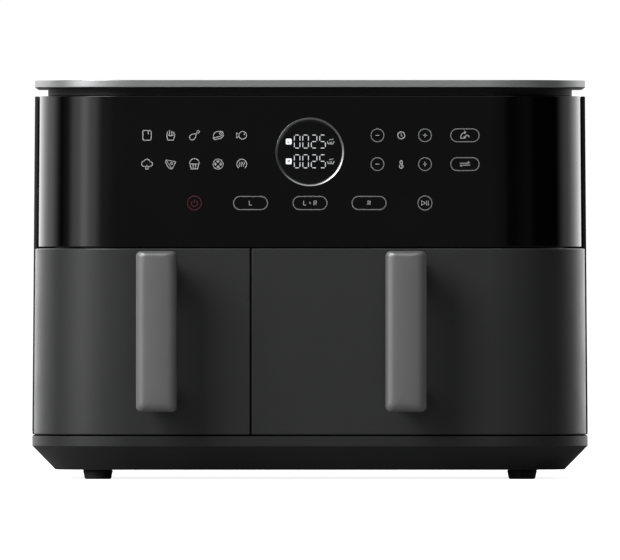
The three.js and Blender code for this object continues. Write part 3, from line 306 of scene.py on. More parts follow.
class Finish(NodeGraph):
    """A procedural material in the making: one Principled shader and what feeds it."""

    def __init__(self, name, colour, roughness, metallic=0.0, **sockets):
        self.material = bpy.data.materials.new(name)
        self.material.use_nodes = True
        super().__init__(self.material.node_tree)
        self.shader = self.tree.nodes["Principled BSDF"]
        self.base = (*colour, 1)
        self.roughness = roughness
        self.set("Base Color", self.base)
        self.set("Roughness", roughness)
        self.set("Metallic", metallic)
        for key, value in sockets.items():
            self.set(key.replace("_", " "), value)
        self.place = self.node("TexCoord", {}, "Object")

    def set(self, socket, value):
        self.shader.inputs[socket].default_value = value

    def feed(self, socket, value):
        self.tree.links.new(value, self.shader.inputs[socket])
        return self

    def stretched(self, stretch):
        if stretch is None:
            return self.place
        return self.node("Mapping", {"Vector": self.place, "Scale": stretch})

    def noise(self, scale, detail, stretch=None):
        inputs = {"Vector": self.stretched(stretch), "Scale": scale, "Detail": detail}
        return self.node("TexNoise", inputs, "Fac")

    def cells(self, scale, output="Distance", stretch=None):
        inputs = {"Vector": self.stretched(stretch), "Scale": scale}
        return self.node("TexVoronoi", inputs, output)

    def tint(self, share, other):
        """Mixes another colour into the base by a share that varies over the surface."""
        factor, first, second, result = 0, 6, 7, 2
        inputs = {factor: share, first: self.base, second: (*other, 1)}
        self.base = self.node("Mix", inputs, result, data_type="RGBA")
        return self.feed("Base Color", self.base)

    def vary_roughness(self, value, spread):
        low, high = self.roughness - spread, self.roughness + spread
        return self.feed("Roughness", self.ranged(value, 0.3, 0.7, low, high))

    def bump(self, height, depth, strength=0.5):
        inputs = {"Strength": strength, "Distance": depth, "Height": height}
        return self.feed("Normal", self.node("Bump", inputs))


def grained_plastic(name, colour, roughness, grain, depth, **sockets):
    """Moulded plastic with a spark-eroded grain and faint handling variation."""
    finish = Finish(name, colour, roughness, **sockets)
    finish.tint(finish.ranged(finish.noise(9, 4), 0.3, 0.7, 0, 0.35), [c * 1.25 for c in colour])
    finish.vary_roughness(finish.noise(40, 5), 0.03)
    return finish.bump(finish.noise(grain, 2), depth)


def brushed_metal(name, colour, roughness, stretch, depth):
    finish = Finish(name, colour, roughness, metallic=1.0)
    lines = finish.noise(900, 3, stretch)
    finish.tint(finish.ranged(lines, 0.35, 0.65, 0, 0.4), [c * 0.8 for c in colour])
    finish.vary_roughness(lines, 0.05)
    return finish.bump(lines, depth, 0.3)


def shell_plastic():
    return grained_plastic("shell_plastic", (0.027, 0.0275, 0.0285), 0.4, 1500, 0.05 * MM)


# A darker copy of the shell plastic: painted shade for the neck recessed under the lid.
def painted_shade_plastic():
    return grained_plastic("painted_shade_plastic", (0.004, 0.004, 0.0043), 0.6, 1500, 0.05 * MM)


def drawer_plastic():
    finish = grained_plastic("drawer_plastic", (0.038, 0.0385, 0.04), 0.31, 1100, 0.006 * MM)
    flecks = finish.ranged(finish.cells(1200), 0.0, 0.3, 0.12, 0)
    return finish.tint(flecks, (0.045, 0.046, 0.048))


def handle_grey():
    finish = Finish("handle_grey", (0.25, 0.25, 0.252), 0.4, metallic=0.45)
    flecks = finish.ranged(finish.cells(3000), 0.0, 0.3, 0.5, 0)
    finish.tint(flecks, (0.32, 0.32, 0.325))
    finish.vary_roughness(finish.noise(60, 4), 0.03)
    return finish.bump(finish.noise(2600, 2), 0.02 * MM)


def gloss_panel():
    finish = Finish("gloss_panel", (0.002, 0.002, 0.0022), 0.07)
    finish.tint(finish.ranged(finish.noise(14, 3), 0.4, 0.7, 0, 1), (0.003, 0.003, 0.0033))
    finish.vary_roughness(finish.noise(25, 5), 0.015)
    return finish.bump(finish.noise(30, 1), 0.02 * MM, 0.05)


def lid_metal():
    """Satin metal paint, duller where it is seen edge on."""
    finish = Finish("lid_metal", (0.6, 0.605, 0.61), 0.305, metallic=0.7)
    finish.set("Specular Tint", (0.3, 0.3, 0.3, 1))
    lines = finish.noise(900, 3, (0.02, 0.5, 1))
    finish.tint(finish.ranged(lines, 0.35, 0.65, 0, 0.25), (0.48, 0.485, 0.49))
    finish.vary_roughness(lines, 0.02)
    return finish.bump(lines, 0.001 * MM, 0.2)


def bright_trim():
    return brushed_metal("bright_trim", (0.34, 0.345, 0.35), 0.33, (1, 1, 1), 0.002 * MM)


def display_glass():
    finish = Finish("display_glass", (0.0025, 0.0026, 0.003), 0.08)
    finish.tint(finish.ranged(finish.noise(60, 3), 0.4, 0.7, 0, 1), (0.004, 0.004, 0.0045))
    return finish.vary_roughness(finish.noise(120, 4), 0.02)


def rubber():
    return grained_plastic("rubber", (0.011, 0.011, 0.011), 0.75, 1800, 0.05 * MM)


def silicone():
    return grained_plastic("silicone", (0.045, 0.045, 0.046), 0.6, 2500, 0.02 * MM, Sheen_Weight=0.15)


def circuit_board():
    finish = Finish("circuit_board", (0.005, 0.07, 0.03), 0.38)
    tracks = finish.cells(240, stretch=(1, 0.1, 1))
    finish.tint(finish.ranged(tracks, 0.3, 0.34, 0.0, 0.7), (0.01, 0.13, 0.05))
    pads = finish.cells(420, stretch=(1, 0.1, 1))
    finish.tint(finish.ranged(pads, 0.06, 0.08, 1, 0), (0.5, 0.42, 0.25))
    return finish.bump(tracks, 0.05 * MM, 0.4)


def sheet_steel():
    """Galvanised sheet, with its crystals showing as flat facets of slightly different greys."""
    finish = Finish("sheet_steel", (0.36, 0.37, 0.38), 0.36, metallic=1.0)
    spangle = finish.cells(140, output="Color")
    finish.tint(finish.ranged(spangle, 0, 1, 0, 0.6), (0.24, 0.25, 0.26))
    finish.vary_roughness(finish.noise(90, 3), 0.06)
    return finish.bump(finish.noise(600, 3), 0.02 * MM, 0.3)


def non_stick():
    """Sprayed coating: orange peel with fine pale specks."""
    finish = Finish("non_stick", (0.02, 0.02, 0.021), 0.33, metallic=0.2)
    specks = finish.ranged(finish.cells(900), 0.05, 0.09, 0.8, 0)
    finish.tint(specks, (0.16, 0.16, 0.165))
    finish.vary_roughness(finish.noise(80, 4), 0.04)
    return finish.bump(finish.noise(500, 2), 0.04 * MM, 0.35)


def heater_steel():
    finish = Finish("heater_steel", (0.16, 0.15, 0.14), 0.42, metallic=1.0)
    finish.tint(finish.ranged(finish.noise(25, 3), 0.4, 0.65, 0, 0.8), (0.11, 0.075, 0.06))
    finish.vary_roughness(finish.noise(200, 4), 0.08)
    return finish.bump(finish.noise(900, 3), 0.02 * MM, 0.4)


def motor_steel():
    return brushed_metal("motor_steel", (0.4, 0.41, 0.43), 0.32, (1, 1, 0.03), 0.01 * MM)


def switch_plastic():
    return grained_plastic("switch_plastic", (0.26, 0.012, 0.01), 0.4, 1500, 0.02 * MM)


def ink(name, colour, thin):
    """Printed ink that lies a little thinner in places."""
    finish = Finish(name, colour, 0.55)
    return finish.tint(finish.ranged(finish.noise(1500, 3), 0.35, 0.65, 0, 0.5), thin)


def panel_print():
    return ink("panel_print", (0.62, 0.625, 0.635), (0.5, 0.505, 0.51))


def dim_print():
    return ink("dim_print", (0.27, 0.273, 0.278), (0.21, 0.212, 0.216))


def power_print():
    return ink("power_print", (0.1, 0.004, 0.012), (0.075, 0.003, 0.009))


def glowing(name, strength):
    """Lit segments, a little uneven as such displays are."""
    finish = Finish(name, (0.5, 0.51, 0.53), 0.5, Emission_Strength=strength)
    finish.set("Emission Color", (0.9, 0.94, 1.0, 1))
    return finish.tint(finish.ranged(finish.noise(500, 2), 0.3, 0.7, 0, 0.4), (0.4, 0.41, 0.43))


def display_light():
    return glowing("display_light", 0.4)


def display_glow():
    return glowing("display_glow", 0.8)


def fastener():
    return brushed_metal("fastener", (0.12, 0.12, 0.125), 0.38, (1, 1, 1), 0.01 * MM)


PLASTICS = (shell_plastic, painted_shade_plastic, drawer_plastic, gloss_panel, switch_plastic, rubber, silicone)
METALS = (lid_metal, handle_grey, bright_trim, sheet_steel, heater_steel, motor_steel, fastener, non_stick)
PANEL = (display_glass, display_light, display_glow, panel_print, dim_print, power_print, circuit_board)
FINISHES = {maker.__name__: maker().material for maker in PLASTICS + METALS + PANEL}


def dress(obj, body, slot, *nodes, finish=None):
    """Gives a new piece its finish, its body and the CAD nodes that it stands for."""
    obj.data.materials.clear()
    obj.data.materials.append(FINISHES[finish or slot])
    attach(obj, body)
    if nodes:
        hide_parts(*nodes)
    return obj


# ---------------------------------------------------------------- casing


def outer_shell():
    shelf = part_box("motor_deck")[0].z - GAP
    z0, z1 = SHELL_LOW.z, SHELL_HIGH.z
    profile = [
        (0, z0),
        (0, z1),
        (TOP_FLANGE, z1),
        (TOP_FLANGE, z1 - WALL),
        (WALL, z1 - WALL),
        (WALL, shelf),
        (WALL + 5 * MM, shelf),
        (WALL + 5 * MM, shelf - WALL),
        (WALL, shelf - WALL),
        (WALL, z0),
    ]
    run = [side_station(1, SEAM_Y)] + RIGHT_REAR + LEFT_REAR + [side_station(-1, SEAM_Y)]
    shell = casing_hoop("casing_shell", profile, run)
    cuts = []
    for side in SIDES:
        low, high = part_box(f"rear_grille_{side}")
        flange = 6 * MM
        x = (low.x + flange, high.x - flange)
        z = (low.z + flange, high.z - flange)
        cuts.append(block("vent_cut", x, (BACK_Y - 2 * WALL, BACK_Y + WALL), z))
    gland_low, gland_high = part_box("cord_gland")
    centre = (gland_low + gland_high) / 2
    neck = 9 * MM
    profile = [(0, -2 * WALL), (neck, -2 * WALL), (neck, WALL), (0, WALL)]
    cuts.append(turned("gland_cut", profile, (centre.x, BACK_Y, centre.z), "Y", 48))
    combine(shell, cuts)
    return dress(soften(shell, 0.7 * MM), "housing", "shell_plastic", "outer_shell")


def base_tray():
    z0 = BASE_LOW.z
    skirt_top = z0 + SKIRT_HEIGHT
    z1 = SHELL_LOW.z - REVEAL
    tray = casing_solid(
        "casing_base",
        [
            (SKIRT_INSET, z0),
            (0, skirt_top),
            (0, z1),
            (WALL, z1),
            (WALL, skirt_top + 1 * MM),
            (SKIRT_INSET + 1.3 * MM, z0 + WALL),
        ],
    )
    shelf = strip_profile((WALL - 0.5 * MM, 20 * MM), (z1 - 2.5 * MM, z1))
    lip = strip_profile((WALL + GAP, WALL + 2.5 * MM), (skirt_top + 2 * MM, z1 + 6 * MM))
    rear = [side_station(1, SEAM_Y + 4 * MM)] + RIGHT_REAR + LEFT_REAR
    rear.append(side_station(-1, SEAM_Y + 4 * MM))
    combine(
        tray,
        [
            casing_hoop("front_shelf", shelf, front_run(SEAM_Y + WALL, SEAM_Y + WALL)),
            casing_hoop("rear_lip", lip, rear),
        ],
        "UNION",
    )
    slots = []
    for side in SIDES:
        low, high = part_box(f"{side}_cavity_liner")
        fan_low, fan_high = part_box(f"{side}_convection_fan")
        middle = (fan_low.y + fan_high.y) / 2
        for row in range(-2, 3):
            x = around((low.x + high.x) / 2, (high.x - low.x) * 0.54)
            y = around(middle + row * 14 * MM, 4 * MM)
            slots.append(block("base_slot", x, y, (0, skirt_top / 2)))
    combine(tray, [merged("base_slots", slots)])
    return dress(soften(tray, 0.6 * MM), "housing", "shell_plastic", "base_tray")


def top_lid():
    z0 = COLLAR_HIGH.z + GAP
    lid = casing_solid("lid_plate", [(0, z0), (0, LID_HIGH.z)])
    inner = COLLAR_INSET + COLLAR_SKIN + GAP
    rib = strip_profile((inner, inner + 2 * MM), (SHELL_HIGH.z + 1 * MM, z0 + 1 * MM))
    combine(lid, [casing_hoop("lid_rib", rib)], "UNION")
    return dress(soften(lid, 0.5 * MM, 4), "housing", "lid_metal", "top_lid")


def intake_collar():
    z0, z1 = COLLAR_LOW.z, COLLAR_HIGH.z
    skin = strip_profile((COLLAR_INSET, COLLAR_INSET + COLLAR_SKIN), (z0, z1))
    collar = casing_hoop("intake_neck", skin)
    height = (z0 + 1.2 * MM, z1 - 1.2 * MM)
    slot_width, slots = 22 * MM, []
    reach = LID_HIGH.x - CORNER_REAR - 10 * MM
    for i in range(7):
        x = around(-reach + 2 * reach * i / 6, slot_width)
        slots.append(block("rear_slot", x, (BACK_Y - COLLAR_INSET - 5 * MM, BACK_Y), height))
    for i in range(3):
        y0 = SEAM_Y + 40 * MM
        y1 = BACK_Y - CORNER_REAR - 25 * MM
        for sign in (-1, 1):
            x = around(sign * (LID_HIGH.x - COLLAR_INSET), 10 * MM)
            slots.append(block("side_slot", x, around(y0 + (y1 - y0) * i / 2, slot_width), height))
    combine(collar, [merged("collar_slots", slots)])
    soften(collar, 0.3 * MM)
    # The collar's finish is the shell plastic darkened: painted shade for its recess under the lid.
    return dress(collar, "housing", "shell_plastic", "intake_collar", finish="painted_shade_plastic")


def control_panel():
    z0, z1 = PANEL_LOW.z, PANEL_HIGH.z
    inner = PANEL_INSET + PANEL_SKIN
    profile = [
        (PANEL_INSET, z0),
        (PANEL_INSET, z1),
        (TOP_FLANGE, z1),
        (TOP_FLANGE, z1 - PANEL_SKIN),
        (inner, z1 - PANEL_SKIN),
        (inner, z0),
    ]
    end = PANEL_HIGH.y
    panel = casing_hoop("touch_panel", profile, front_run(end, end))
    radius = (DISPLAY_HIGH.x - DISPLAY_LOW.x) / 2 - 0.45 * MM
    hole = [(0, -2 * MM), (radius, -2 * MM), (radius, 4 * MM), (0, 4 * MM)]
    centre = (DISPLAY_CENTRE.x, PANEL_Y, DISPLAY_CENTRE.z)
    combine(panel, [turned("display_hole", hole, centre, "Y")])
    return dress(soften(panel, 0.6 * MM, 4), "housing", "gloss_panel", "control_panel")


def display_ring():
    radius = (DISPLAY_HIGH.x - DISPLAY_LOW.x) / 2
    proud = DISPLAY_LOW.y - PANEL_Y
    bore = radius - 1.95 * MM
    profile = [
        (radius, -GAP),
        (radius, proud + 0.3 * MM),
        (radius - 0.2 * MM, proud),
        (radius - 0.9 * MM, proud + 0.28 * MM),
        (radius - 1.5 * MM, proud + 0.7 * MM),
        (bore, 0.6 * MM),
        (bore, 3 * MM),
        (bore + 1.2 * MM, 3 * MM),
        (bore + 1.2 * MM, -GAP),
    ]
    centre = (DISPLAY_CENTRE.x, PANEL_Y, DISPLAY_CENTRE.z)
    ring = turned("display_bezel", profile, centre, "Y", 128, hollow=True)
    return dress(soften(ring, 0.12 * MM, 2, 20), "housing", "bright_trim", "display_ring")


def display_lens():
    low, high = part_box("display_lens")
    radius = (high.x - low.x) / 2
    thickness = high.y - low.y
    profile = [
        (0, 0),
        (radius * 0.5, 0.02 * MM),
        (radius - 0.5 * MM, 0.06 * MM),
        (radius, 0.3 * MM),
        (radius, thickness),
        (0, thickness),
    ]
    centre = (DISPLAY_CENTRE.x, low.y, DISPLAY_CENTRE.z)
    lens = turned("display_window", profile, centre, "Y", 96)
    return dress(soften(lens, 0.05 * MM, 2, 60), "housing", "display_glass", "display_lens")


def foot(place):
    low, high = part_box(f"foot_{place}")
    centre = (low + high) / 2
    top = BASE_LOW.z - GAP
    profile = [
        (0, 0.6 * MM),
        (6.5 * MM, 0.6 * MM),
        (7.5 * MM, 0),
        (9.2 * MM, 0),
        (10 * MM, 0.7 * MM),
        (11.3 * MM, top - 0.8 * MM),
        (11.0 * MM, top),
        (3 * MM, top),
        (3 * MM, high.z - 1 * MM),
        (0, high.z),
    ]
    obj = turned(f"rubber_foot_{place}", profile, (centre.x, centre.y, 0), sides=64)
    return dress(soften(obj, 0.2 * MM, 2), "housing", "rubber", f"foot_{place}")


def cord_gland():
    low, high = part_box("cord_gland")
    centre = (low + high) / 2
    out = high.y - BACK_Y
    profile = [
        (3.6 * MM, out),
        (7.0 * MM, out),
        (8.2 * MM, out - 0.5 * MM),
        (11 * MM, out - 2.6 * MM),
        (11 * MM, GAP),
        (8.7 * MM, GAP),
        (8.7 * MM, -WALL - GAP),
        (11 * MM, -WALL - GAP),
        (11 * MM, -2 * WALL),
        (3.6 * MM, -2 * WALL),
    ]
    gland = turned("power_gland", profile, (centre.x, BACK_Y, centre.z), "Y", 64, hollow=True)
    return dress(soften(gland, 0.35 * MM), "housing", "rubber", "cord_gland")


def screw(name, centre, axis):
    """A low domed screw with a crossed recess, on the back (Y) or the underside (Z)."""
    direction = 1 if axis == "Y" else -1
    normal = "XYZ".index(axis)
    heights = (0, 0.7, 1.25, 1.5)
    radii = (3.4, 3.3, 2.2, 0)
    dome = [(r * MM, h * MM * direction) for r, h in zip(radii, heights)]
    head = turned(name, [(0, -0.2 * MM * direction)] + dome, centre, axis, 32)
    cuts = []
    for long, short in ((3.2 * MM, 0.7 * MM), (0.7 * MM, 3.2 * MM)):
        spans = [around(middle, size) for middle, size in zip(centre, (long, short, short))]
        spans[normal] = sorted(centre[normal] + depth * MM * direction for depth in (0.6, 2))
        cuts.append(block("recess", *spans))
    combine(head, cuts)
    return dress(soften(head, 0.08 * MM, 2), "housing", "fastener")


def screws():
    x = half_width(SHELL_LOW.z) - CORNER_REAR - 6 * MM
    number = 0
    for z in (SHELL_LOW.z + 14 * MM, SHELL_HIGH.z - 14 * MM):
        for share in (-1, 0, 1):
            number += 1
            screw(f"rear_screw_{number}", (share * x, BACK_Y, z), "Y")
    number = 0
    for sx in (-1, 1):
        for y in (FRONT_Y + 70 * MM, BACK_Y - 75 * MM):
            number += 1
            screw(f"base_screw_{number}", (sx * (BASE_HIGH.x - 50 * MM), y, BASE_LOW.z), "Z")


# ---------------------------------------------------------------- drawers


def drawer_front(side):
    low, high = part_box(f"{side}_drawer_front")
    seam = high.x if side == "left" else low.x
    outward = OUTWARD[side]
    corner = LEFT_FRONT[::-1] if side == "left" else RIGHT_FRONT
    rim = side_station(outward, high.y)
    rear = DRAWER_INSET + DRAWER_THICKNESS
    solid = strip_profile((DRAWER_INSET, rear), (low.z, high.z))
    pocket = strip_profile((DRAWER_INSET + WALL, rear + WALL), (low.z + WALL, high.z - WALL))
    front = casing_hoop(f"{side}_front_cover", solid, [front_station(seam)] + corner + [rim])
    inner_run = [front_station(seam + outward * WALL)] + corner[:-1]
    combine(front, [casing_hoop("pocket", pocket, inner_run)])
    body = f"{side}_drawer"
    return dress(soften(front, 0.9 * MM, 4), body, "drawer_plastic", f"{side}_drawer_front")


def handle(side):
    """A pillow-faced grip on two flared posts."""
    low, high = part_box(f"{side}_handle")
    centre = (low + high) / 2
    half = ((high.x - low.x) / 2, (high.z - low.z) / 2)
    thickness = 15 * MM
    roll, drop = 7 * MM, 4.5 * MM
    top_share = 0.5
    crown = 1.5 * MM
    corner = 4 * MM

    def ring(inset, depth, bow=0.0):
        """The grip's outline moved in by an inset, which is smaller along its top edge."""
        radius = corner * (1 - inset / half[0])
        height = half[1] - inset * (1 + top_share) / 2
        middle = centre.z + inset * (1 - top_share) / 2
        outline = rounded_outline((half[0] - inset, height), radius)
        y = low.y + depth
        return [Vector((centre.x + x, y + bow * (x / half[0]) ** 2, middle + z)) for x, z in outline]

    back = ((3.2, 0), (1.2, 0.6), (0.2, 2), (0, 3.5))
    rows = [ring(inset * MM, thickness - rise * MM) for inset, rise in back]
    for i in range(13):
        angle = math.radians(90 * i / 12)
        rows.append(ring(roll * (1 - math.cos(angle)), drop * (1 - math.sin(angle)), crown))
    face = half[0] - roll
    for i in range(1, 8):
        rows.append(ring(roll + i / 8 * face, 0, crown))
    grip = grid(f"{side}_grip", rows)
    drawer_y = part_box(f"{side}_drawer_front")[0].y
    posts = []
    for sign in (-1, 1):
        middle = centre.z + sign * (half[1] - 12.5 * MM)
        levels = []
        for y, flare in ((0, 1.2), (1.5, 0.2), (4, 0), (20, 0), (24, 0.4), (25.8, 1.4)):
            outline = rounded_outline(((11 + flare) * MM, (8 + flare) * MM), 4 * MM)
            depth = min(low.y + thickness - 1.2 * MM + y * MM, drawer_y - GAP)
            levels.append([Vector((centre.x + a, depth, middle + b)) for a, b in outline])
        posts.append(grid("post", levels))
    combine(grip, posts, "UNION")
    smooth(grip)
    grip.data.set_sharp_from_angle(angle=math.radians(40))
    add_modifier(grip, "WEIGHTED_NORMAL", keep_sharp=True, weight=50)
    return dress(grip, f"{side}_drawer", "handle_grey", f"{side}_handle")


PAN_WALL = 1.5 * MM
PAN_CORNER = 30 * MM
PAN_DRAFT = 3 * MM
PAN_FILLET = 4 * MM
PAN_LIP = 2.5 * MM


def pan_ring(side, inset, z, facets=16):
    low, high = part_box(f"{side}_pan")
    lean = PAN_DRAFT * (1 - (z - low.z) / (high.z - low.z)) + inset + PAN_LIP
    half = ((high.x - low.x) / 2 - lean, (high.y - low.y) / 2 - lean)
    centre = (low + high) / 2
    outline = rounded_outline(half, PAN_CORNER + PAN_LIP - lean, facets)
    return [Vector((centre.x + x, centre.y + y, z)) for x, y in outline]


def pan(side):
    low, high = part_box(f"{side}_pan")
    levels = []
    for i in range(5):
        angle = math.radians(90 * i / 4)
        fillet = PAN_FILLET * (1 - math.sin(angle))
        levels.append((fillet, low.z + PAN_FILLET * (1 - math.cos(angle))))
    levels += [
        (0, high.z - PAN_WALL - 1 * MM),
        (-PAN_LIP * 0.4, high.z - PAN_WALL),
        (-PAN_LIP, high.z - PAN_WALL),
        (-PAN_LIP, high.z),
        (PAN_WALL, high.z),
    ]
    for i in range(5):
        angle = math.radians(90 * i / 4)
        fillet = PAN_FILLET * (1 - math.cos(angle))
        levels.append((PAN_WALL + fillet, low.z + PAN_WALL + PAN_FILLET * (1 - math.sin(angle))))
    obj = grid(f"{side}_basket", [pan_ring(side, inset, z) for inset, z in levels])
    return dress(soften(obj, 0.5 * MM, 3, 40), f"{side}_drawer", "non_stick", f"{side}_pan")


def slot_cut(x, y, length, width, z):
    points = rounded_outline((width / 2, length / 2), width / 2, 5)
    return grid("slot", [[Vector((x + a, y + b, height)) for a, b in points] for height in z])


def crisper_plate(side):
    """A pressed plate with rounded slots, a finger hole and four feet."""
    low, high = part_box(f"{side}_crisper_plate")
    top = high.z
    bottom = top - 2 * MM
    inset = PAN_WALL + 3.5 * MM
    plate = grid(
        f"{side}_crisper",
        [pan_ring(side, inset, bottom, 12), pan_ring(side, inset, top, 12)],
    )
    centre = (low + high) / 2
    half = ((high.x - low.x) / 2 - PAN_DRAFT, (high.y - low.y) / 2 - 3 * MM)
    pitch_x, pitch_y, length, width, hole = 16 * MM, 54 * MM, 40 * MM, 5 * MM, 12 * MM
    margin = 12 * MM
    through = (bottom - 1 * MM, top + 1 * MM)
    columns = int((half[0] - margin - width / 2) / pitch_x)
    rows = int((half[1] - margin - length / 2) / pitch_y)
    cuts = []
    for column in range(-columns, columns + 1):
        for row in range(-rows, rows + 1):
            x, y = column * pitch_x, row * pitch_y
            if abs(x) > hole + width or abs(y) > hole + length / 2:
                cuts.append(slot_cut(centre.x + x, centre.y + y, length, width, through))
    profile = [(0, through[0]), (hole, through[0]), (hole, through[1]), (0, through[1])]
    cuts.append(turned("finger_hole", profile, (centre.x, centre.y, 0), sides=48))
    combine(plate, [merged("crisper_cuts", cuts)])
    legs = []
    leg_top = top - 1 * MM
    leg = [(0, low.z), (3.4 * MM, low.z), (4 * MM, low.z + 0.6 * MM), (4 * MM, leg_top), (0, leg_top)]
    for sx in (-1, 1):
        for sy in (-1, 1):
            place = (centre.x + sx * (half[0] - margin), centre.y + sy * (half[1] - margin), 0)
            legs.append(turned("leg", leg, place, sides=24))
    combine(plate, [merged("legs", legs)], "UNION")
    return dress(soften(plate, 0.45 * MM, 2), f"{side}_crisper", "non_stick", f"{side}_crisper_plate")


# ---------------------------------------------------------------- printed marks


class Marks:
    """Flat marks that lie on a plane facing the front, drawn as (x, z) strokes in millimetres."""

    DEPTH = 0.07 * MM

    def __init__(self, y, scale=1.0):
        self.y = y
        self.unit = scale * MM
        self.verts = []
        self.faces = []

    def solid(self, outlines, faces):
        """Front and back copies of a flat set of faces, with walls round their free edges."""
        start = len(self.verts)
        count = len(outlines)
        front = self.y - self.DEPTH * 0.6
        for y in (front, front + self.DEPTH):
            self.verts += [Vector((x * self.unit, y, z * self.unit)) for x, z in outlines]
        edges = {}
        for face in faces:
            self.faces.append(tuple(start + i for i in face))
            self.faces.append(tuple(start + count + i for i in reversed(face)))
            for a, b in zip(face, face[1:] + face[:1]):
                edges[(a, b)] = True
        for a, b in edges:
            if (b, a) not in edges:
                self.faces.append((start + b, start + a, start + count + a, start + count + b))

    def stroke(self, points, width, close=False):
        """A ribbon of even width along a line, with mitred corners."""
        count = len(points)
        left, right = [], []
        for i, (x, z) in enumerate(points):
            before = points[(i - 1) % count] if close or i else points[i]
            after = points[(i + 1) % count] if close or i < count - 1 else points[i]
            incoming = Vector((x - before[0], z - before[1]))
            outgoing = Vector((after[0] - x, after[1] - z))
            incoming = incoming.normalized() if incoming.length else outgoing.normalized()
            outgoing = outgoing.normalized() if outgoing.length else incoming
            along = (incoming + outgoing).normalized()
            mitre = min(1 / max(along.dot(incoming), 0.4), 1.6)
            across = Vector((-along.y, along.x)) * width / 2 * mitre
            left.append((x + across.x, z + across.y))
            right.append((x - across.x, z - across.y))
        spans = range(count if close else count - 1)
        faces = [(i, count + i, count + (i + 1) % count, (i + 1) % count) for i in spans]
        self.solid(left + right, faces)

    def line(self, x0, z0, x1, z1, width):
        self.stroke([(x0, z0), (x1, z1)], width)

    def ring(self, x, z, radius, width):
        self.stroke(arc(x, z, radius, 0, 360, 40)[:-1], width, close=True)

    def box(self, x, z, size, corner, width):
        half = (size[0] / 2, size[1] / 2)
        self.stroke(moved(rounded_outline(half, corner, 8), x, z), width, close=True)

    def patch(self, points):
        self.solid(points, [tuple(range(len(points)))])

    def build(self, name, slot, finish=None):
        obj = link_mesh(name, self.verts, self.faces)
        return dress(obj, "housing", slot, finish=finish)


def arc(x, z, radius, start, end, steps=12):
    turn = end - start
    return [circle_point((x, z), radius, start + turn * i / steps) for i in range(steps + 1)]


def curve(points, steps=6, close=False):
    """A smooth line through given points."""
    count = len(points)
    line = []
    for i in range(count if close else count - 1):
        if close:
            p = [points[(i + k) % count] for k in (-1, 0, 1, 2)]
        else:
            p = [points[min(max(i + k, 0), count - 1)] for k in (-1, 0, 1, 2)]
        for step in range(steps):
            t = step / steps
            weights = (
                (-t + 2 * t**2 - t**3) / 2,
                (2 - 5 * t**2 + 3 * t**3) / 2,
                (t + 4 * t**2 - 3 * t**3) / 2,
                (-(t**2) + t**3) / 2,
            )
            line.append(tuple(sum(w * q[axis] for w, q in zip(weights, p)) for axis in (0, 1)))
    return line if close else line + [points[-1]]


def moved(points, x, z):
    return [(x + a, z + b) for a, b in points]


STROKE = 0.72


def toast(m, x, z):
    m.box(x, z, (7.2, 8.3), 1.3, STROKE)
    m.line(x + 1.1, z + 4.0, x + 1.1, z + 0.8, STROKE)


def fries(m, x, z):
    m.stroke(moved([(-3.7, 1.0), (-2.4, -4.1), (2.4, -4.1), (3.7, 1.0)], x, z), STROKE)
    m.stroke(moved(curve([(-3.7, 1.0), (-2.0, 0.2), (0, -0.5), (2.0, 0.2), (3.7, 1.0)]), x, z), STROKE)
    for offset, height in ((-2.7, 3.3), (-0.95, 4.2), (0.95, 3.7), (2.7, 3.1)):
        m.line(x + offset, z + 0.4 - abs(offset) * 0.1, x + offset, z + height, STROKE)


def drumstick(m, x, z):
    body = [(-3.9, -2.6), (-2.4, -3.9), (0.1, -3.1), (1.1, -0.8)]
    body += [(1.5, 1.0), (0.2, 1.3), (-2.4, 0.6), (-4.0, -0.9)]
    m.stroke(moved(curve(body, close=True), x, z), STROKE, close=True)
    m.line(x + 1.2, z + 1.1, x + 2.6, z + 2.5, STROKE)
    m.ring(x + 3.3, z + 3.1, 1.0, STROKE)


def steak(m, x, z):
    edge = [(-4.0, -0.4), (-2.6, 2.4), (0.6, 3.3), (3.6, 3.0)]
    edge += [(4.4, 0.9), (2.2, -0.6), (-0.8, -1.5), (-2.8, -2.2)]
    m.stroke(moved(curve(edge, close=True), x, z), STROKE, close=True)
    rim = [(-4.0, -0.4), (-4.1, -2.2), (-2.6, -3.8), (-0.4, -3.2), (2.4, -2.3), (4.3, -0.9), (4.4, 0.9)]
    m.stroke(moved(curve(rim), x, z), STROKE)
    m.ring(x + 2.0, z + 1.5, 0.8, 0.6)


def fish(m, x, z):
    m.ring(x + 0.8, z, 3.25, STROKE)
    tail = [(-2.3, 0.9), (-4.4, 2.2), (-4.4, -2.2), (-2.3, -0.9)]
    m.stroke(moved(tail, x, z), STROKE)
    m.ring(x + 2.2, z + 0.9, 0.35, 0.5)


def broccoli(m, x, z):
    m.stroke(moved(arc(-2.5, 0.2, 2.2, 80, 290), x, z), STROKE)
    m.stroke(moved(arc(0, 1.6, 2.6, 5, 175), x, z), STROKE)
    m.stroke(moved(arc(2.5, 0.2, 2.2, 100, -110), x, z), STROKE)
    stem = [(-1.8, -1.9), (-0.9, -2.2), (-1.0, -4.2), (1.0, -4.2), (0.9, -2.2), (1.8, -1.9)]
    m.stroke(moved(stem, x, z), STROKE)
    m.line(x, z - 2.2, x, z - 0.6, 0.6)


def pizza(m, x, z):
    m.stroke(moved([(-3.9, 3.6), (4.4, 2.0), (1.3, -4.2)], x, z), STROKE, close=True)
    m.stroke(moved(curve([(-4.4, 2.9), (-3.6, -0.2), (-1.6, -3.0), (0.8, -4.3)]), x, z), STROKE)
    m.ring(x + 0.9, z + 0.6, 0.8, 0.6)


def muffin(m, x, z):
    m.stroke(moved(arc(0, 0.6, 4.1, -8, 188, 20), x, z), STROKE)
    m.line(x - 4.2, z + 0.1, x + 4.2, z + 0.1, STROKE)
    m.stroke(moved([(-3.7, -0.2), (-2.8, -4.1), (2.8, -4.1), (3.7, -0.2)], x, z), STROKE)
    for offset in (-1.1, 1.1):
        m.line(x + offset, z - 0.2, x + offset * 0.85, z - 4.1, 0.7)


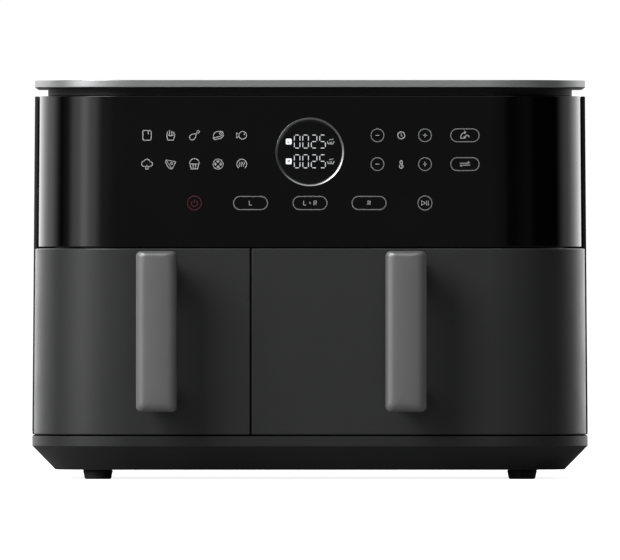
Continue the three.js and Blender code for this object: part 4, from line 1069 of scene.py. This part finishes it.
def fruit_slice(m, x, z):
    m.ring(x, z, 4.3, 0.6)
    for turn in range(4):
        middle = 90 * turn
        rim = arc(0, 0, 3.1, middle - 33, middle + 33, 6)
        m.patch(moved([circle_point((0, 0), 0.95, middle)] + rim, x, z))


def reheat(m, x, z):
    m.stroke(moved(arc(0, 0, 4.2, -50, 230, 24), x, z), STROKE)
    for offset in (-1.9, 0, 1.9):
        wave = curve([(offset, 1.9), (offset + 0.5, 0.8), (offset - 0.5, -0.7), (offset, -2.2)])
        m.stroke(moved(wave, x, z), 0.7)


def shake(m, x, z):
    """A basket with a curved arrow over it."""
    m.stroke(moved([(-2.9, 0.3), (-3.2, -2.2), (-0.6, -2.2)], x, z), 0.6)
    m.stroke(moved(arc(1.7, -1.2, 1.3, 200, -20, 8), x, z), 0.6)
    m.line(x - 0.8, z - 0.6, x + 0.2, z - 2.4, 0.6)
    m.stroke(moved(arc(0.4, -0.8, 3.1, 165, 95, 8), x, z), 0.6)
    m.stroke(moved([(-0.6, 3.3), (0.6, 2.3), (-0.5, 1.2)], x, z), 0.55)


def two_arrows(m, x, z):
    """A pair of arrows chasing each other: both drawers finish together."""
    for sign in (-1, 1):
        for part in ([(-3.9, 0.75), (3.6, 0.75)], [(2.2, 2.0), (3.7, 0.75)]):
            m.stroke([(x + sign * a, z + sign * b) for a, b in part], 0.5)


def clock(m, x, z):
    m.ring(x, z, 2.6, 0.75)
    m.stroke(moved([(0, 1.4), (0, -0.2), (0.8, -0.5)], x, z), 0.5)


def thermometer(m, x, z):
    m.stroke(moved(arc(0, -1.7, 1.4, 125, 415), x, z), 0.65)
    m.stroke(moved([(-0.85, -0.6), (-0.85, 2.2), (0, 2.9), (0.85, 2.2), (0.85, -0.6)], x, z), 0.6)
    m.line(x, z - 1.7, x, z + 1.0, 0.5)


def letter(m, character, x, z, height, width):
    """Plain letters for the two cooking spaces."""
    half = height / 2
    wide = height * 0.3
    if character == "L":
        m.stroke(moved([(-wide, half), (-wide, -half), (wide, -half)], x, z), width)
    if character == "R":
        bowl = [(-wide, half)] + arc(wide * 0.3, half * 0.5, half * 0.5, 90, -90, 8) + [(-wide, 0)]
        m.stroke(moved(bowl, x, z), width)
        m.line(x - wide, z + half, x - wide, z - half, width)
        m.line(x + wide * 0.1, z, x + wide, z - half, width)
    if character == "+":
        m.line(x - wide * 0.9, z, x + wide * 0.9, z, width)
        m.line(x, z - wide * 0.9, x, z + wide * 0.9, width)


SEGMENTS = {"0": "abcdef", "2": "abged", "5": "afgcd"}


def digit(m, character, x, z):
    """A seven-segment numeral, about 5 wide and 10.5 high."""
    w, h, gap, width = 2.1, 4.9, 0.85, 0.64
    lines = {
        "a": (-w + gap, h, w - gap, h),
        "g": (-w + gap, 0, w - gap, 0),
        "d": (-w + gap, -h, w - gap, -h),
        "f": (-w, gap, -w, h - gap),
        "b": (w, gap, w, h - gap),
        "e": (-w, -h + gap, -w, -gap),
        "c": (w, -h + gap, w, -gap),
    }
    for name in SEGMENTS[character]:
        x0, z0, x1, z1 = lines[name]
        bar(m, (x + x0, z + z0), (x + x1, z + z1), width)


def bar(m, start, end, width):
    """A straight segment with pointed ends."""
    a, b = Vector(start), Vector(end)
    along = (b - a).normalized()
    across = Vector((-along.y, along.x)) * width / 2
    tip = along * width * 0.45
    points = [a - tip, a + tip * 0.2 - across, b - tip * 0.2 - across, b + tip, b - tip * 0.2 + across]
    points.append(a + tip * 0.2 + across)
    m.patch([tuple(p) for p in points])


FOOD_SCALE = 0.88
FOOD_COLUMNS = (-122.8, -104.95, -87.1, -69.25, -51.4)
UPPER_ROW = 259.2
LOWER_ROW = 237.5
ZONE_ROW = 208.2
LATER_COLUMNS = (50.8, 68.7, 86.6)
PILL_COLUMN = 116.7
PILL, PILL_CORNER = (21.4, 9.7), 4.8
ZONE_PILL, ZONE_CORNER = (25.6, 9.9), 4.9
ZONE_WORDS = ((-44.8, "L"), (0, "L+R"), (44.5, "R"))
KEY_RADIUS = 4.85
START_RADIUS = 5.3
POWER_RADIUS = 5.2
THIN = 0.5
DISPLAY_ROWS = ((254.5, "L"), (239.6, "R"))
DIGIT_COLUMNS = (-9.7, -3.3, 3.1, 9.5)
SIGN_COLUMN = -16.0
TRAY_COLUMN = 15.6


def food_marks():
    upper = (toast, fries, drumstick, steak, fish)
    lower = (broccoli, pizza, muffin, fruit_slice, reheat)
    m = Marks(PANEL_Y, FOOD_SCALE)
    for row, drawings in ((UPPER_ROW, upper), (LOWER_ROW, lower)):
        for x, drawing in zip(FOOD_COLUMNS, drawings):
            drawing(m, x / FOOD_SCALE, row / FOOD_SCALE)
    return m.build("food_marks", "panel_print")


def key_marks():
    bright = Marks(PANEL_Y)
    dim = Marks(PANEL_Y)
    minus, centre, plus = LATER_COLUMNS
    for row in (UPPER_ROW, LOWER_ROW):
        for x in (minus, plus):
            dim.ring(x, row, KEY_RADIUS, STROKE)
            bright.line(x - 1.5, row, x + 1.5, row, THIN)
        bright.line(plus, row - 1.5, plus, row + 1.5, THIN)
        dim.box(PILL_COLUMN, row, PILL, PILL_CORNER, STROKE)
    clock(bright, centre, UPPER_ROW)
    thermometer(bright, centre, LOWER_ROW)
    shake(bright, PILL_COLUMN, UPPER_ROW)
    two_arrows(bright, PILL_COLUMN, LOWER_ROW)
    for x, word in ZONE_WORDS:
        dim.box(x, ZONE_ROW, ZONE_PILL, ZONE_CORNER, STROKE)
        for i, character in enumerate(word):
            letter(bright, character, x + (i - (len(word) - 1) / 2) * 3.9, ZONE_ROW, 3.1, THIN)
    dim.ring(plus, ZONE_ROW, START_RADIUS, STROKE)
    bright.stroke(moved([(-2.6, 1.7), (-2.6, -1.7), (0.2, 0)], plus, ZONE_ROW), THIN, close=True)
    for offset in (1.2, 2.6):
        bright.line(plus + offset, ZONE_ROW - 1.7, plus + offset, ZONE_ROW + 1.7, THIN)
    bright.build("key_marks", "panel_print")
    dim.build("key_outlines", "panel_print", finish="dim_print")


def power_mark():
    m = Marks(PANEL_Y)
    x = FOOD_COLUMNS[2]
    m.ring(x, ZONE_ROW, POWER_RADIUS, 0.75)
    m.stroke(moved(arc(0, -0.2, 2.3, 130, 410, 20), x, ZONE_ROW), 0.7)
    m.line(x, ZONE_ROW + 0.1, x, ZONE_ROW + 2.7, 0.7)
    return m.build("power_mark", "power_print")


def display_marks():
    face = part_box("display_lens")[0].y
    numerals = Marks(face)
    signs = Marks(face)
    icons = Marks(face)
    letters = Marks(face - 0.06 * MM)
    for row, name in DISPLAY_ROWS:
        for x, character in zip(DIGIT_COLUMNS, "0025"):
            digit(numerals, character, x, row)
        signs.patch(moved(rounded_outline((2.2, 2.2), 0.8, 5), SIGN_COLUMN, row))
        letter(letters, name, SIGN_COLUMN, row, 2.0, 0.4)
        basket = [(-2.5, 0.1), (-1.9, -1.7), (1.8, -1.7), (2.6, 0.1)]
        icons.stroke(moved(basket, TRAY_COLUMN, row), 0.7)
        icons.line(TRAY_COLUMN - 1, row - 0.5, TRAY_COLUMN + 1, row - 0.5, 0.6)
        steam = [(-1.3, 0.9), (-0.2, 1.7), (1.3, 1.3), (1.9, 2.2)]
        icons.stroke(moved(steam, TRAY_COLUMN, row), THIN)
    numerals.build("display_numerals", "display_light")
    signs.build("display_signs", "display_light", finish="display_glow")
    icons.build("display_icons", "panel_print")
    letters.build("display_letters", "display_glass")


# ---------------------------------------------------------------- CAD nodes that stay


def keep(node, slot, width=0.3 * MM):
    """Rounds and finishes a CAD node, which keeps its shape and place."""
    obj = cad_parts[node]
    custom = obj.data.attributes.get("custom_normal")
    if custom:
        obj.data.attributes.remove(custom)
    add_modifier(obj, "WELD", merge_threshold=0.01 * MM)
    soften(obj, width, 2, 32, "MITER_SHARP")
    obj.data.materials.clear()
    obj.data.materials.append(FINISHES[slot])


def keep_inner_parts():
    keep("front_frame", "shell_plastic", 0.5 * MM)
    keep("motor_deck", "sheet_steel")
    keep("power_board", "circuit_board", 0.2 * MM)
    keep("control_board", "circuit_board", 0.2 * MM)
    for side in SIDES:
        keep(f"rear_grille_{side}", "shell_plastic", 0.4 * MM)
        keep(f"{side}_drawer_back", "shell_plastic", 0.6 * MM)
        for part in ("cavity_liner", "reflector", "convection_fan", "runner"):
            keep(f"{side}_{part}", "sheet_steel")
        for part in ("heater_guard", "motor_shaft", "temperature_probe"):
            keep(f"{side}_{part}", "bright_trim")
        keep(f"{side}_heater", "heater_steel", 0.1 * MM)
        keep(f"{side}_motor", "motor_steel", 0.6 * MM)
        keep(f"{side}_cooling_fan", "shell_plastic")
        keep(f"{side}_microswitch", "shell_plastic")
        keep(f"{side}_switch_plunger", "switch_plastic", 0.2 * MM)
        for place in ("front", "back", "left", "right"):
            keep(f"{side}_crisper_pad_{place}", "silicone", 0.5 * MM)


# ---------------------------------------------------------------- stage


FLOOR_GLOW = 0.85  # lifts the floor to the backdrop's white
FLOOR_BOUNCE = 0.22  # share of the light that the floor throws back up


FLOOR_RADIUS = 6
FLOOR_BOTTOM = -2 * MM


def floor():
    profile = [(0, FLOOR_BOTTOM), (FLOOR_RADIUS, FLOOR_BOTTOM), (FLOOR_RADIUS, 0), (0, 0)]
    disc = turned("floor", profile, (0, 0, 0))
    finish = Finish("floor", (0.86, 0.86, 0.86), 0.9)
    finish.tint(finish.ranged(finish.noise(3, 3), 0.3, 0.7, 0, 1), (0.84, 0.84, 0.84))
    glow = finish.node("Emission", {"Strength": FLOOR_GLOW})
    pale = finish.node("AddShader", {0: finish.shader.outputs[0], 1: glow})
    bounce = finish.node("BsdfDiffuse", {"Color": (FLOOR_BOUNCE, FLOOR_BOUNCE, FLOOR_BOUNCE, 1)})
    finish.split_by_ray(pale, bounce, finish.tree.nodes["Material Output"].inputs["Surface"])
    disc.data.materials.append(finish.material)


# How bright the studio is in each direction round the object, in degrees from the front.
STUDIO = (
    ((-180, 0.7), (-152, 0.85), (-120, 0.4), (-97, 0.0), (-88, 0.03))
    + ((-72, 0.45), (-61, 0.85), (-50, 0.45), (-36, 0.08), (-20, 0.045), (0, 0.042))
    + ((18, 0.03), (27, 0.002), (50, 0.02), (62, 0.0), (92, 0.0))
    + ((112, 0.2), (150, 0.8), (180, 0.7))
)
STUDIO_STRENGTH = 2.6
BACKDROP_STRENGTH = 1.05


def studio_world():
    """Upright bright and dark stretches that fade towards the zenith; the camera sees white."""
    world = bpy.data.worlds.new("studio")
    bpy.context.scene.world = world
    world.use_nodes = True
    graph = NodeGraph(world.node_tree)
    world.node_tree.nodes.clear()
    place = graph.node("TexCoord", {}, "Generated")
    x, y, z = graph.node("SeparateXYZ", {0: place}).node.outputs
    azimuth = graph.maths("ARCTAN2", x, graph.maths("MULTIPLY", y, -1.0))
    share = graph.maths("MULTIPLY_ADD", azimuth, 1 / (2 * math.pi), 0.5)
    colour = graph.node("ValToRGB", {"Fac": share})
    ramp = colour.node.color_ramp
    ramp.interpolation = "EASE"
    while len(ramp.elements) < len(STUDIO):
        ramp.elements.new(0.5)
    for stop, (degrees, value) in zip(ramp.elements, STUDIO):
        stop.position = (degrees + 180) / 360
        stop.color = (value, value, value, 1)
    tilt = graph.maths("ABSOLUTE", z)
    window = graph.ranged(tilt, 0.55, 0.85, 1, 0.1, interpolation_type="SMOOTHSTEP")
    strength = graph.maths("MULTIPLY", window, STUDIO_STRENGTH)
    studio = graph.node("Background", {"Color": colour, "Strength": strength})
    backdrop = graph.node("Background", {"Color": (1, 1, 1, 1), "Strength": BACKDROP_STRENGTH})
    output = world.node_tree.nodes.new("ShaderNodeOutputWorld")
    graph.split_by_ray(backdrop, studio, output.inputs["Surface"])


def soft_light(name, place, target, size, power, diffuse=True, glossy=True):
    data = bpy.data.lights.new(name, "AREA")
    data.shape = "RECTANGLE"
    data.size, data.size_y = size
    data.energy = power
    light = bpy.data.objects.new(name, data)
    bpy.context.scene.collection.objects.link(light)
    light.location = place
    aim = Vector(target) - Vector(place)
    light.rotation_euler = aim.to_track_quat("-Z", "Y").to_euler()
    light.visible_camera = False
    light.visible_diffuse = diffuse
    light.visible_glossy = glossy


def camera():
    """A long lens straight on at the front, level with the middle of the picture."""
    lens, sensor = 1500, 36
    seen_width = 0.4679
    view_height = 0.1502
    middle_y = -0.12
    data = bpy.data.cameras.new("camera")
    data.lens = lens
    data.sensor_width = sensor
    data.clip_end = 60
    cam = bpy.data.objects.new("camera", data)
    bpy.context.scene.collection.objects.link(cam)
    cam.location = (0, middle_y - lens / sensor * seen_width, view_height)
    cam.rotation_euler = (math.radians(90), 0, 0)
    bpy.context.scene.camera = cam


# ---------------------------------------------------------------- assembly

outer_shell()
base_tray()
top_lid()
intake_collar()
control_panel()
display_ring()
display_lens()
cord_gland()
screws()
for foot_place in ("front_left", "front_right", "rear_left", "rear_right"):
    foot(foot_place)
for each_side in SIDES:
    drawer_front(each_side)
    handle(each_side)
    pan(each_side)
    crisper_plate(each_side)
food_marks()
key_marks()
power_mark()
display_marks()
keep_inner_parts()

floor()
studio_world()
soft_light("key", (-1.9, -1.9, 1.9), (0, -0.1, 0.15), (1.7, 1.7), 66)
soft_light("overhead", (0, 0.3, 2.6), (0, 0.1, 0), (3.2, 3.2), 28, glossy=False)
soft_light("front_strip", (0, -2.2, 2.3), (0, -0.15, 0.28), (3.4, 1.0), 22, diffuse=False)
camera()
bpy.context.scene.view_settings.view_transform = "Standard"
